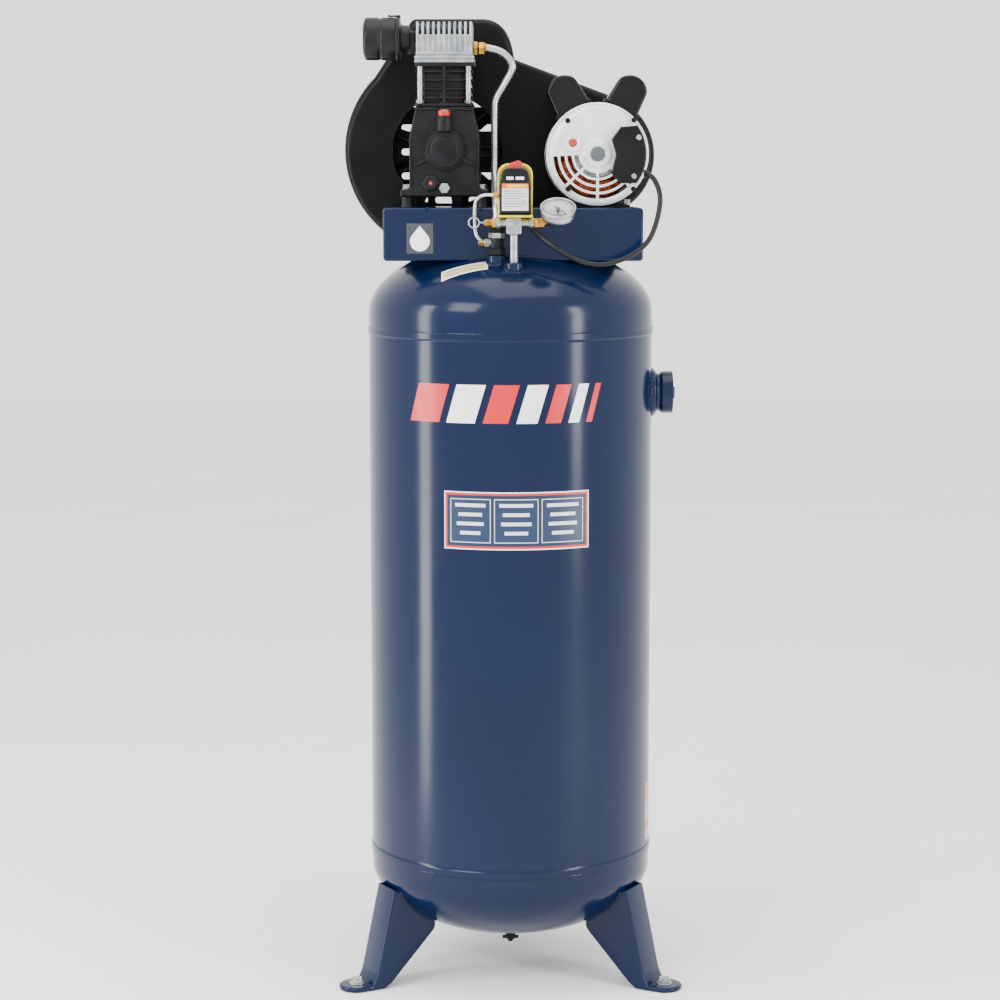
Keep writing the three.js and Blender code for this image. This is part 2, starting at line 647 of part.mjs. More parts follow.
// ---------- motor ----------
const onMotor = (y = 0) => [motorX, y, motorZ];
{
  const shellFront = motorFront + bellDepth;
  const shellRear = motorRear - bellDepth;
  const inner = motorRadius - motorWall;
  const shell = ring(inner, motorRadius, shellFront + gap, shellRear - gap, motorSides, "y", onMotor());
  add("motor_shell", shell, blackIron);

  const stator = ring(statorBore, inner - gap, shellFront + 30, shellRear - 26, motorSides, "y", onMotor());
  const winding = (y0, y1) => ring(statorBore + 6, inner - 12, y0, y1, motorSides, "y", onMotor());
  const frontWinding = winding(shellFront + 6, shellFront + 31);
  const rearWinding = winding(shellRear - 27, shellRear - 5);
  add("motor_stator", joined(stator, frontWinding, rearWinding), copper);

  const spindle = rod(motorShaft, motorFront + 8, beltY + 14, 16, "y", onMotor());
  const core = rod(rotorRadius, shellFront + 30, shellRear - 26, 20, "y", onMotor());
  let rotor = joined(spindle, core);
  for (let i = 0; i < 8; i++) {
    const vane = new THREE.BoxGeometry(16, 18, 2.5);
    vane.translate(rotorRadius - 10, 0, 0).rotateY((i / 8) * 2 * Math.PI);
    vane.translate(motorX, shellRear - 18, motorZ);
    rotor = rotor.add(solid(vane));
  }
  add("motor_rotor", rotor, steel);

  /** An end bell: a dished cover with a bearing boss; "out" is -1 at the front and 1 at the rear. */
  function bell(face, out, boreRadius) {
    const dish = [
      [boreRadius, 0], [22, 0], [24, -5], [motorRadius - 2, -12], [motorRadius + 1, -bellDepth],
      [motorRadius - 3, -bellDepth], [motorRadius - 6, -15], [26, -9], [22, -18], [boreRadius, -18],
      [boreRadius, 0],
    ];
    const profile = dish.map(([r, depth]) => [r, face + out * depth]);
    if (out > 0) profile.reverse();
    return turned(profile, motorSides, "y", onMotor());
  }
  let frontBell = bell(motorFront, -1, motorShaft + slip);
  frontBell = frontBell.add(rod(motorShaft + 6, motorFront - 3, motorFront + 5, 20, "y", onMotor()));
  const slots = [];
  for (let row = 0; row < 4; row++) {
    const r = 32 + row * 9;
    for (const [a0, a1] of [[205, 222], [228, 266], [274, 312], [318, 332]]) {
      const slot = new THREE.Shape();
      slot.absarc(motorX, motorZ, r + 4.5, rad(a0), rad(a1));
      slot.absarc(motorX, motorZ, r, rad(a1), rad(a0), true);
      slots.push(slab(slot, motorFront - 4, motorFront + 16, 1));
    }
  }
  const resetAt = [motorX - 43, 0, motorZ + 19];
  const resetBoss = rod(14, motorFront - 1, motorFront + 8, 20, "y", resetAt);
  frontBell = joined(frontBell, resetBoss);
  frontBell = cut(frontBell, ...slots, rod(6 + slip, motorFront - 2, motorFront + 20, 14, "y", resetAt));
  add("motor_front_bell", frontBell, whiteEnamel);
  const button = rod(6, motorFront - 4, motorFront + 16, 14, "y", resetAt);
  add("reset_button", joined(button, rod(8.5, motorFront + 15, motorFront + 17, 14, "y", resetAt)), red);
  add("motor_rear_bell", bell(motorRear, 1, motorShaft + slip), whiteEnamel);

  const terminal = new THREE.Shape();
  terminal.absarc(motorX, motorZ, motorRadius - 5, rad(-37), rad(36));
  for (const [x, z] of [[41, 49], [23, 25], [31, 0], [23, -33], [38, -50]])
    terminal.lineTo(motorX + x, motorZ + z);
  add("terminal_cover", slab(terminal, motorFront - 14, motorFront - gap, 10), blackPlastic);

  const saddle = box(motorX - 58, motorX + 58, -110, 44, bedTop + gap, bedTop + 5);
  const cradles = [-104, 24].map((y) => box(motorX - 46, motorX + 46, y, y + 12, bedTop + 4, motorZ - 40));
  const bodyRoom = rod(motorRadius + 1 + gap, -160, 90, motorSides, "y", onMotor());
  add("motor_base", cut(joined(saddle, ...cradles), bodyRoom), blackIron);

  /** A capacitor housing seated on the motor's shoulder, with its long sides drawn in towards a round top. */
  const shoulders = [["start_capacitor_cover", capacitorLean], ["run_capacitor_cover", -capacitorLean]];
  for (const [name, lean] of shoulders) {
    const top = motorRadius + capacitorRise;
    const side = new THREE.Shape();
    side.moveTo(-31, motorRadius - 8);
    side.lineTo(31, motorRadius - 8);
    side.lineTo(27, top - 20);
    side.quadraticCurveTo(23, top, 8, top);
    side.lineTo(-8, top);
    side.quadraticCurveTo(-23, top, -27, top - 20);
    const cover = slab(side, -118, 22, 4).rotate([0, -lean, 0]).translate(onMotor());
    const room = rod(motorRadius + 1 + gap, -160, 90, motorSides, "y", onMotor());
    add(name, cut(cover, room), blackPlastic);
  }
}

// ---------- belt guard ----------
/** The guard's side outline: the flywheel's lobe, a flat-topped duct, a slope and the motor's lobe. */
function guardOutline(inset) {
  const big = guardLobe - inset;
  const small = motorLobe - inset;
  const top = guardTop - inset;
  const shape = new THREE.Shape();
  const foot = guardBottom + inset;
  const footAngle = Math.asin((crankZ - foot) / big);
  const motorFoot = Math.min(Math.asin((motorZ - foot) / small || 1) || Math.PI / 2, Math.PI / 2);
  shape.moveTo(crankX - big * Math.cos(footAngle), foot);
  shape.absarc(crankX, crankZ, big, Math.PI + footAngle, rad(135), true);
  shape.lineTo(crankX - 60 + inset * 0.4, top);
  shape.lineTo(crankX + 66, top);
  shape.quadraticCurveTo(crankX + 114 - inset, top - 2, crankX + 122 - inset, top - 72);
  shape.absarc(motorX, motorZ, small, rad(70), -motorFoot, true);
  shape.lineTo(motorX - small * Math.cos(motorFoot), foot);
  return shape;
}
{
  const split = (guardFront + guardRear) / 2;
  const shellOf = (y0, y1, wallAt) => {
    const outer = slab(guardOutline(0), y0, y1, 8);
    const inner = wallAt === "front"
      ? slab(guardOutline(guardWall), y0 + guardWall, y1 + 1, 8)
      : slab(guardOutline(guardWall), y0 - 1, y1 - guardWall, 8);
    return cut(outer, inner);
  };
  const window = rod(100, guardFront - 5, guardFront + 10, 20, "y", onCrank());
  const duct = box(crankX - 46, crankX + 46, guardFront - 5, guardFront + 10, crankZ + 128, guardTop - 18);
  const shaftWindow = rod(30, guardFront - 5, guardFront + 10, 24, "y", onMotor());
  const frontShell = shellOf(guardFront, split - gap, "front");
  add("belt_guard_front", cut(frontShell, window, duct, shaftWindow), blackPlastic);
  const vents = [];
  for (let row = 0; row < 5; row++)
    for (const column of [-1, 0, 1])
      vents.push(box(crankX + column * 62 - 24, crankX + column * 62 + 24, guardRear - 8, guardRear + 4,
        crankZ - 98 + row * 44, crankZ - 80 + row * 44));
  add("belt_guard_rear", cut(shellOf(split, guardRear, "rear"), ...vents), blackPlastic);
}

// ---------- intake filter ----------
{
  const at = [0, filterY, filterZ];
  const lidProfile = [
    [0, filterLeft], [filterRadius - 3, filterLeft], [filterRadius, filterLeft + 3],
    [filterRadius, filterSeam - gap],
    [filterRadius - 2, filterSeam - gap], [filterRadius - 2, filterLeft + 3], [0, filterLeft + 3],
  ];
  const under = filterZ - filterRadius;
  const over = filterZ + filterRadius;
  const vent = box(filterLeft + 14, filterLeft + 40, filterY - 8, filterY + 8, under - 4, under + 8);
  add("air_filter_cover", cut(turned(lidProfile, 20, "x", at), vent), blackPlastic);
  const element = ring(16, filterRadius - 6, filterLeft + 8, filterSeam - 2, 20, "x", at);
  add("air_filter_element", element, paper);
  const disc = ring(12, filterRadius + 1, filterSeam, filterSeam + 8, 20, "x", at);
  const neck = ring(10, 24, filterSeam + 7, crankX - headWidth / 2 - 8, 18, "x", at);
  const headWall = crankX - headWidth / 2;
  const drop = box(
    headWall - 18, headWall - gap, filterY - 12, filterY + 12, plateTop + 1, filterZ + 12,
  );
  const stub = rod(9, -headWidth / 2 - 8, -headWidth / 2 + 14, 14, "x", [crankX, filterY, filterZ - 20]);
  const latch = box(filterSeam - 14, filterSeam + 3, filterY - 8, filterY + 8, over + slip, over + 4);
  const latchFoot = box(filterSeam + 1, filterSeam + 8, filterY - 8, filterY + 8, over - 3, over + 4);
  add("air_filter_base", joined(disc, neck, drop, stub, latch, latchFoot), blackPlastic);
}

// ---------- discharge and check valve ----------
const checkNutZ = bungTop + 52;
{
  const startX = crankX + headWidth / 2;
  const fitting = joined(
    rod(dischargeRadius + 2, 26, headWidth / 2 + 4, 14, "x", [crankX, filterY, outletZ]),
    hexagon(22, headWidth / 2 + gap, headWidth / 2 + 16, "x", [crankX, filterY, outletZ]),
  );
  const route = [
    [startX + 10, filterY, outletZ], [-38, filterY, outletZ], [-14, filterY, outletZ - 8], [1, filterY, outletZ - 25],
    [1, filterY, outletZ - 41], [-12, filterY, outletZ - 64], [-26, filterY, outletZ - 89], [-28, filterY, outletZ - 111],
    [-28, filterY, outletZ - 167], [-28, filterY - 2, manifoldZ + 100], [-28, filterY - 12, manifoldZ + 78],
    [-27, filterY - 40, manifoldZ + 58], [-26, filterY - 74, manifoldZ + 44], [-25, filterY - 93, manifoldZ + 30],
    [checkX, checkY + 3, manifoldZ + 15], [checkX, checkY, manifoldZ + 1], [checkX, checkY, checkNutZ + 2],
  ];
  const line = swept(route, dischargeRadius, 32, 8);
  const nut = hexagon(22, checkNutZ, checkNutZ + 14, "z", [checkX, checkY, 0]);
  add("discharge_tube", joined(fitting, line, nut), tubeAluminium);

  const stem = rod(checkRadius, checkSeat - 22, checkSeat + 6, 12, "z", [checkX, checkY, 0]);
  const body = hexagon(26, checkSeat + gap, checkNutZ - gap, "z", [checkX, checkY, 0]);
  const side = rod(6, -22, 0, 10, "x", [checkX, checkY, bungTop + 34]);
  add("check_valve", joined(stem, body, side), brass);

  const unloaderX = -61;
  const switchLeft = switchX - switchWidth / 2 + 3 - gap;
  const sideY = checkY;
  const bendZ = manifoldZ + 47;
  const pipe = swept([
    [switchLeft - gap, switchY + 3, bendZ], [switchLeft - 9, switchY + 3, bendZ],
    [-44, switchY + 10, bendZ],
    [-55, switchY + 14, bendZ - 5], [unloaderX, sideY - 1, bendZ - 18], [unloaderX, sideY, bungTop + 62],
    [unloaderX + 3, sideY, bungTop + 46], [unloaderX + 12, sideY, bungTop + 35],
    [checkX - 30, sideY, bungTop + 34], [checkX - 22 - gap, sideY, bungTop + 34],
  ], 3.3, 26, 8);
  add("unloader_tube", pipe, tubeAluminium);
}

// ---------- pressure switch, manifold, relief valve and gauge ----------
const manifoldTop = manifoldZ + 9;
{
  const at = [nippleX, switchY, 0];
  const nipple = rod(nippleRadius, bungTop - 16, manifoldZ + 4, 12, "z", at);
  const bar = rod(7.5, switchX - 32, switchX + 32, 14, "x", [0, switchY, manifoldZ]);
  const block = box(nippleX - 13, nippleX + 13, switchY - 13, switchY + 13, manifoldZ - 20, manifoldTop);
  add("switch_manifold", joined(nipple, bar, block), zinc);

  const baseZ = manifoldTop + gap;
  const half = switchWidth / 2;
  const backY = switchBack;
  const frontY = switchBack - switchDepth;
  const plate = box(switchX - half, switchX + half, frontY + 4, backY, baseZ, baseZ + 4);
  const archTop = manifoldZ + 101;
  const arch = new THREE.Shape();
  arch.moveTo(switchX - half, baseZ);
  arch.lineTo(switchX + half, baseZ);
  arch.lineTo(switchX + half, archTop - 27);
  arch.quadraticCurveTo(switchX + half, archTop, switchX + 8, archTop);
  arch.lineTo(switchX - 8, archTop);
  arch.quadraticCurveTo(switchX - half, archTop, switchX - half, archTop - 27);
  add("switch_base", joined(plate, slab(arch, backY - 6, backY, 6)), yellow);

  const coverTop = manifoldZ + 93;
  const cover = new THREE.Shape();
  cover.moveTo(switchX - half + 3, baseZ + 4 + gap);
  cover.lineTo(switchX + half - 3, baseZ + 4 + gap);
  cover.lineTo(switchX + half - 3, coverTop - 14);
  cover.quadraticCurveTo(switchX + half - 3, coverTop, switchX + half - 16, coverTop);
  cover.lineTo(switchX - half + 16, coverTop);
  cover.quadraticCurveTo(switchX - half + 3, coverTop, switchX - half + 3, coverTop - 14);
  const leverRoom = box(switchX - 19, switchX + 19, frontY + 10, backY - 14, coverTop - 16, coverTop + 4);
  const shell = slab(cover, frontY, backY - 6 - gap, 6);
  add("switch_cover", cut(shell, leverRoom), blackPlastic);

  const leverY = (frontY + backY) / 2 - 2;
  const pivot = rod(5, -8, 8, 12, "y", [switchX + 3, leverY, coverTop - 9]);
  const handleAt = [switchX + 1, leverY, coverTop - 6];
  const handle = box(-6, 10, -6, 6, 0, 16).rotate([0, -18, 0]).translate(handleAt);
  add("switch_lever", joined(pivot, handle), red);

  const reliefX = switchX - 32 - gap;
  const valveBody = turned([
    [0, reliefX - 22], [4.5, reliefX - 22], [4.5, reliefX - 20], [6.5, reliefX - 19], [6.5, reliefX - 6],
    [8.5, reliefX - 6], [8.5, reliefX], [0, reliefX],
  ], 14, "x", [0, switchY, manifoldZ]);
  const stemHole = rod(1.6 + slip, -20, 2, 8, "x", [reliefX - 4, switchY, manifoldZ]);
  add("relief_valve", cut(valveBody, stemHole), brass);
  const stem = rod(1.6, reliefX - 30, reliefX - 14, 8, "x", [0, switchY, manifoldZ]);
  const loop = new THREE.TorusGeometry(9, 1.3, 8, 18).rotateX(Math.PI / 2);
  loop.translate(reliefX - 38.4, switchY, manifoldZ);
  add("relief_ring", joined(stem, solid(loop)), steel);

  const elbowX = switchX + 32 + gap;
  const block2 = box(elbowX, elbowX + 18, switchY - 7, switchY + 7, manifoldZ - 8, manifoldZ + 8);
  const lean = rad(gaugeTilt);
  const facing = new THREE.Vector3(0, -Math.cos(lean), Math.sin(lean));
  const place = (made) => made.rotate([-gaugeTilt, 0, 0]).translate([gaugeX, switchY - 22, gaugeZ]);
  const gaugeStem = swept([
    [elbowX + 14, switchY, manifoldZ], [elbowX + 24, switchY - 2, manifoldZ],
    [gaugeX - 12, switchY - 12, manifoldZ + 1],
    [gaugeX, switchY - 22 - facing.y * 10, gaugeZ - facing.z * 10],
  ], 5, 10, 8);
  const caseProfile = [
    [0, 12], [19, 12], [gaugeRadius - 3, 8], [gaugeRadius - 1, 0], [gaugeRadius - 1, -9], [gaugeRadius, -9],
    [gaugeRadius, -12], [gaugeRadius - 4, -12], [gaugeRadius - 4, -5], [0, -5],
  ].reverse();
  const arborHole = rod(1.2 + slip, -8, 6, 8, "y", [0, 0, 0]);
  const gaugeCase = place(cut(turned(caseProfile, 20, "y"), arborHole));
  add("pressure_gauge", joined(gaugeCase, block2, gaugeStem), brightSteel);
  const arbor = rod(1.2, -8.5, 2, 8, "y", [0, 0, 0]);
  const pointer = box(-1.1, 1.1, -8.6, -7.2, -6, 22).rotate([0, 135, 0]);
  add("gauge_needle", place(joined(arbor, pointer)), blackPlastic);
}

// ---------- motor lead ----------
const leadX = motorX + motorRadius - 8.5;
const leadEndX = switchX + 25;
const leadEndY = switchBack - 2.5;
{
  const points = [
    [leadX, -157, 1449], [236, -157, 1448.5], [247, -160, 1440], [256, -165, 1419],
    [257, -170, 1397], [250, -178, 1364],
    [236, -184, 1334], [210, -190, 1312], [176, -194, 1298], [147, -196, 1295], [116, -196, 1302],
    [80, -192, 1322], [53, -179, 1342], [leadEndX + 4, leadEndY, 1357], [leadEndX, leadEndY, 1366],
    [leadEndX, leadEndY, manifoldTop - gap],
  ];
  add("motor_cable", swept(points, 4.5, 32, 8), rubber);
}

// The frame's origin is the middle of the base, on the floor.
const extent = new THREE.Box3().setFromObject(group);
group.position.x = -(extent.min.x + extent.max.x) / 2;
group.position.y = -(extent.min.y + extent.max.y) / 2;

export default group;
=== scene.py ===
"""Looks of an upright shop air compressor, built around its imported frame.

Shapes are written in millimetres about the receiver's axis, with the floor at z = 0, and are kept
in metres in the frame's own axes: +Z up, -Y the front with the switch and gauge.
"""

import math

import bmesh
import bpy
from mathutils import Matrix, Vector


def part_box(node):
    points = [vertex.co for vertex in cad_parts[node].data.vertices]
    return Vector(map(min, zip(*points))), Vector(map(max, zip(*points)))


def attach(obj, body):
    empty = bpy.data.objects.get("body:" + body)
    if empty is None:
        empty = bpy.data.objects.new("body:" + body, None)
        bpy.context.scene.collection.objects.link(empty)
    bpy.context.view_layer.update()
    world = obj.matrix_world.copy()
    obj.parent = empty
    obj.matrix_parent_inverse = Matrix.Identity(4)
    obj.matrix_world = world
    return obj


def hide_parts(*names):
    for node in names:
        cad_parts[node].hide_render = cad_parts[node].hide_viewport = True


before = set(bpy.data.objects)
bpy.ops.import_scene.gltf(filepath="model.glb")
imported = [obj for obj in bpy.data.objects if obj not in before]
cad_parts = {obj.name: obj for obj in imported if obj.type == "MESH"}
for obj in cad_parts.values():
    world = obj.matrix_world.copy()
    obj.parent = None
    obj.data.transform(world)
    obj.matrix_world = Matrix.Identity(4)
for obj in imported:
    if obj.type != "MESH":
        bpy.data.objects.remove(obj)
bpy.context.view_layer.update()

bl_info = {
    "name": "Shop Air Compressor",
    "version": (1, 0, 0),
    "blender": (4, 5, 0),
    "location": "View3D > Sidebar > Compressor",
    "description": "Builds an upright belt-driven air compressor piece by piece",
    "category": "Add Mesh",
}

MM = 0.001
FRAME = "frame"  # the body that stands still


# ---------- places taken from the frame, in millimetres about the receiver's axis ----------
def node_box(*nodes):
    """The low and high corners of one or more frame nodes."""
    corners = [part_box(node) for node in nodes]
    shift = Vector((0, AXIS_Y, 0))
    low = Vector([min(corner[0][i] for corner in corners) for i in range(3)])
    high = Vector([max(corner[1][i] for corner in corners) for i in range(3)])
    return (low - shift) / MM, (high - shift) / MM


AXIS_Y = sum(corner[1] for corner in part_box("tank_bottom_head")) / 2
TO_FRAME = Matrix.Translation((0, AXIS_Y, 0)) @ Matrix.Scale(MM, 4)

TANK_R = node_box("tank_bottom_head")[1].x
TANK_LOW = node_box("tank_bottom_head")[1].z - 38  # lower tangent line, under the head's skirt and lap
TANK_HIGH = node_box("tank_top_head")[0].z + 38
BED_LOW, BED_HIGH = node_box("platform")
WHEEL_LOW, WHEEL_HIGH = node_box("flywheel")
CRANK_X = (WHEEL_LOW.x + WHEEL_HIGH.x) / 2
CRANK_Z = (WHEEL_LOW.z + WHEEL_HIGH.z) / 2
SHELL_LOW, SHELL_HIGH = node_box("motor_shell")
MOTOR_X = (SHELL_LOW.x + SHELL_HIGH.x) / 2
MOTOR_Z = (SHELL_LOW.z + SHELL_HIGH.z) / 2
MOTOR_R = SHELL_HIGH.x - MOTOR_X
BELL_FRONT = node_box("terminal_cover")[1].y + 0.3
BELL_REAR = node_box("motor_rear_bell")[1].y
BLOCK_LOW, BLOCK_HIGH = node_box("cylinder_block")
PLATE_LOW, PLATE_HIGH = node_box("valve_plate")
HEAD_LOW, HEAD_HIGH = node_box("cylinder_head")
GUARD_LOW, GUARD_HIGH = node_box("belt_guard_front", "belt_guard_rear")
FILTER_LOW, FILTER_HIGH = node_box("air_filter_cover")
COVER_LOW, COVER_HIGH = node_box("switch_cover")
ARCH_LOW, ARCH_HIGH = node_box("switch_base")


# ---------- colour ----------
def linear(code):
    """An sRGB hex colour as linear RGBA."""
    parts = [int(code[i : i + 2], 16) / 255 for i in (1, 3, 5)]
    return tuple(c / 12.92 if c <= 0.04045 else ((c + 0.055) / 1.055) ** 2.4 for c in parts) + (1,)


# ---------- sizes and colours that a user may change ----------
class CompressorSizes(bpy.types.PropertyGroup):
    """Sizes that belong to the looks alone."""

    casting_edge: bpy.props.FloatProperty(
        name="Casting edge", description="Radius on cast edges", default=3.5 * MM, unit="LENGTH"
    )
    weld: bpy.props.FloatProperty(
        name="Weld bead", description="Radius of a weld bead", default=3.4 * MM, unit="LENGTH"
    )
    label: bpy.props.FloatProperty(
        name="Label thickness", description="Thickness of a printed label", default=0.4 * MM, unit="LENGTH"
    )
    blades: bpy.props.IntProperty(name="Flywheel blades", description="Blades on the flywheel", default=9)
    head_fins: bpy.props.IntProperty(name="Head fins", description="Fins on the cylinder head", default=11)
    block_fins: bpy.props.IntProperty(
        name="Block fins", description="Fins on the cylinder block", default=5
    )


class CompressorColours(bpy.types.PropertyGroup):
    """Colours of the main finishes."""

    receiver: bpy.props.FloatVectorProperty(
        name="Receiver", description="Powder coat", subtype="COLOR", default=linear("#071634")[:3]
    )
    casting: bpy.props.FloatVectorProperty(
        name="Castings", description="Paint of the pump", subtype="COLOR", default=linear("#0B0C0E")[:3]
    )
    bell: bpy.props.FloatVectorProperty(
        name="End bells", description="Paint of the motor's end bells", subtype="COLOR",
        default=linear("#E3E5E6")[:3],
    )
    accent: bpy.props.FloatVectorProperty(
        name="Accent", description="Red of the lever and button", subtype="COLOR",
        default=linear("#C4140C")[:3]
    )
    guard: bpy.props.FloatVectorProperty(
        name="Guard", description="Plastic of the belt guard", subtype="COLOR",
        default=linear("#040506")[:3]
    )


# ---------- materials ----------
def add_node(tree, kind, inputs=None, **settings):
    """Adds a node; inputs maps a socket's name or index to a value or to the socket that feeds it."""
    made = tree.nodes.new(kind)
    for key, value in settings.items():
        setattr(made, key, value)
    for key, value in (inputs or {}).items():
        if isinstance(value, bpy.types.NodeSocket):
            tree.links.new(value, made.inputs[key])
        else:
            made.inputs[key].default_value = value
    return made


def bare_finish(name, colour, **shader):
    """A material with one principled shader; returns it with its tree, shader and object coordinates."""
    made = bpy.data.materials.new(name)
    made.use_nodes = True
    made.diffuse_color = colour
    tree = made.node_tree
    bsdf = tree.nodes["Principled BSDF"]
    bsdf.inputs["Base Color"].default_value = colour
    for key, value in shader.items():
        bsdf.inputs[key.replace("_", " ")].default_value = value
    return made, tree, bsdf, add_node(tree, "ShaderNodeTexCoord").outputs["Object"]


def grained(name, colour, other, rough, grain, depth, patch, **shader):
    """A finish whose tone, gloss and surface vary. rough is a pair of roughnesses, grain the size of
    the surface's texture in mm, depth how far it stands out in mm, and patch the size of its tones."""
    made, tree, bsdf, place = bare_finish(name, colour, **shader)
    noise = {"Vector": place, "Detail": 3.0, "Roughness": 0.55}
    fine = add_node(tree, "ShaderNodeTexNoise", {**noise, "Scale": 1 / (grain * MM)})
    slow = add_node(tree, "ShaderNodeTexNoise", {**noise, "Scale": 1 / (patch * MM)})
    tone = add_node(
        tree, "ShaderNodeMapRange", {"Value": slow.outputs[0], "From Min": 0.36, "From Max": 0.66}
    )
    blend = add_node(
        tree, "ShaderNodeMix", {"Factor": tone.outputs[0], 6: colour, 7: other}, data_type="RGBA"
    )
    tree.links.new(blend.outputs[2], bsdf.inputs["Base Color"])
    span = {"From Min": 0.3, "From Max": 0.7, "To Min": rough[0], "To Max": rough[1]}
    gloss = add_node(tree, "ShaderNodeMapRange", {"Value": slow.outputs[0], **span})
    tree.links.new(gloss.outputs[0], bsdf.inputs["Roughness"])
    bump = add_node(tree, "ShaderNodeBump", {"Height": fine.outputs[0], "Distance": depth * MM})
    tree.links.new(bump.outputs[0], bsdf.inputs["Normal"])
    return made


def chosen(name):
    return tuple(getattr(bpy.context.scene.compressor_colours, name)) + (1,)


def shaded(colour, share):
    return tuple(c * share for c in colour[:3]) + (1,)


def powder_coat():
    """Polyester powder coat: deep gloss over the faint orange peel of melted powder."""
    base = chosen("receiver")
    return grained(
        "powder_coat_navy", base, shaded(base, 0.88), (0.14, 0.2), 6, 0.03, 250, Specular_IOR_Level=0.22
    )


def iron_paint():
    """Black enamel over sand-cast iron: the sand's grain, drawn at 1.5 mm so that it shows."""
    return grained(
        "sand_cast_iron_black", chosen("casting"), linear("#15171A"), (0.34, 0.5), 1.5, 0.3, 30,
        Specular_IOR_Level=0.16
    )


def gloss_enamel():
    """Black baked enamel on pressed steel: glossy, with slight ripples."""
    black, grey = linear("#060607"), linear("#0C0D0E")
    return grained("baked_enamel_black", black, grey, (0.14, 0.24), 6, 0.04, 50, Specular_IOR_Level=0.2)


def bell_paint():
    """Aluminium paint on a die casting: pale and satin."""
    return grained(
        "aluminium_paint", chosen("bell"), linear("#D2D5D7"), (0.3, 0.42), 1.2, 0.05, 40, Metallic=0.25
    )


def cast_aluminium():
    """Sand-cast aluminium: grey satin metal with a granular skin, drawn at 1.2 mm."""
    return grained(
        "cast_aluminium", linear("#A4A7AA"), linear("#84888B"), (0.36, 0.5), 1.2, 0.18, 20, Metallic=0.85
    )


def drawn_aluminium():
    """Drawn aluminium tube: bright satin metal with handling marks."""
    return grained(
        "drawn_aluminium", linear("#C6C8CA"), linear("#A6A9AC"), (0.22, 0.36), 3, 0.02, 20, Metallic=0.9
    )


def zinc_plate():
    """Zinc-plated steel: bluish grey, mottled by the plating bath."""
    return grained(
        "zinc_plated_steel", linear("#B0B3B3"), linear("#888C8B"), (0.24, 0.4), 2.5, 0.03, 12,
        Metallic=0.9
    )


def ground_steel():
    """Turned and ground steel: bright, with fine tool marks."""
    return grained(
        "ground_steel", linear("#BBBEC1"), linear("#9A9DA0"), (0.22, 0.34), 0.8, 0.02, 20, Metallic=1.0
    )


def brass():
    """Machined brass: warm yellow metal, slightly dulled."""
    return grained(
        "machined_brass", linear("#B98A3C"), linear("#93692A"), (0.2, 0.36), 2, 0.03, 12, Metallic=1.0
    )


def moulded_black():
    """Moulded ABS: near black, with the fine spark-eroded texture of its mould."""
    return grained(
        "abs_black", linear("#0C0D0F"), linear("#131417"), (0.28, 0.4), 0.8, 0.05, 30,
        Specular_IOR_Level=0.2
    )


def guard_plastic():
    """Blow-moulded polyethylene: black and waxy, with a soft texture and a broad dull sheen."""
    return grained(
        "polyethylene_black", chosen("guard"), linear("#090A0C"), (0.28, 0.4), 2.4, 0.08, 90,
        Specular_IOR_Level=0.12
    )


def red_plastic():
    """ABS in signal red, glossy from a polished mould."""
    return grained("abs_red", chosen("accent"), linear("#A81008"), (0.2, 0.3), 3, 0.03, 20, Coat_Weight=0.2)


def yellow_plastic():
    """ABS in bright yellow."""
    return grained("abs_yellow", linear("#EFD91C"), linear("#DDC413"), (0.26, 0.36), 3, 0.03, 20)


def cable_vinyl():
    """Extruded PVC jacket: black and satin."""
    return grained(
        "pvc_jacket_black", linear("#121315"), linear("#161719"), (0.34, 0.46), 1.2, 0.05, 20,
        Specular_IOR_Level=0.25
    )


def belt_rubber():
    """Fabric-backed belt rubber: dull and dusty."""
    return grained("belt_rubber", linear("#1A1A1A"), linear("#2B2A28"), (0.7, 0.85), 0.8, 0.15, 20)


def filter_paper():
    """Resin-treated filter paper."""
    return grained("filter_paper", linear("#D9CDA9"), linear("#C7B98F"), (0.85, 0.95), 0.6, 0.1, 10)


def copper_wire():
    """Enamelled copper wire: red-brown strands, 1.2 mm apart, with a wet gloss; each strand is painted
    lighter along its crown and darker at its sides, a painted highlight and painted shade between the
    strands.
    """
    made, tree, bsdf, place = bare_finish(
        "enamelled_copper", linear("#9A4024"), Metallic=0.5, Roughness=0.32
    )
    waves = {"Vector": place, "Scale": 1 / (1.2 * MM * 6.3), "Distortion": 3.0, "Detail": 2.0}
    strands = add_node(tree, "ShaderNodeTexWave", waves, bands_direction="Y")
    # the wave's bands mix a dark and a light copper: painted shade in the gaps between strands and a
    # painted highlight along each strand's crown
    pair = {"Factor": strands.outputs[1], 6: linear("#6A2616"), 7: linear("#C8603A")}
    blend = add_node(tree, "ShaderNodeMix", pair, data_type="RGBA")
    tree.links.new(blend.outputs[2], bsdf.inputs["Base Color"])
    bump = add_node(tree, "ShaderNodeBump", {"Height": strands.outputs[1], "Distance": 0.5 * MM})
    tree.links.new(bump.outputs[0], bsdf.inputs["Normal"])
    return made


def clear_lens():
    """Clear polycarbonate with a trace of haze."""
    made, tree, bsdf, place = bare_finish(
        "clear_polycarbonate", linear("#F6FAFB"), IOR=1.58, Transmission_Weight=1.0
    )
    scuffs = add_node(tree, "ShaderNodeTexNoise", {"Vector": place, "Scale": 1 / (2.5 * MM)})
    haze = add_node(
        tree, "ShaderNodeMapRange", {"Value": scuffs.outputs[0], "To Min": 0.02, "To Max": 0.06}
    )
    tree.links.new(haze.outputs[0], bsdf.inputs["Roughness"])
    return made


def ink(code):
    """Screen-printed vinyl in one ink: satin, with a faint mottle."""
    tone = linear(code)
    return grained(f"printed_vinyl_{code[1:].lower()}", tone, shaded(tone, 0.92), (0.3, 0.4), 1.5, 0.01, 20)


def floor_paint():
    """Matt floor paint, almost white."""
    return grained("matt_floor_paint", linear("#F6F6F6"), linear("#F3F3F3"), (0.75, 0.85), 20, 0.02, 600)


MATERIALS = {}


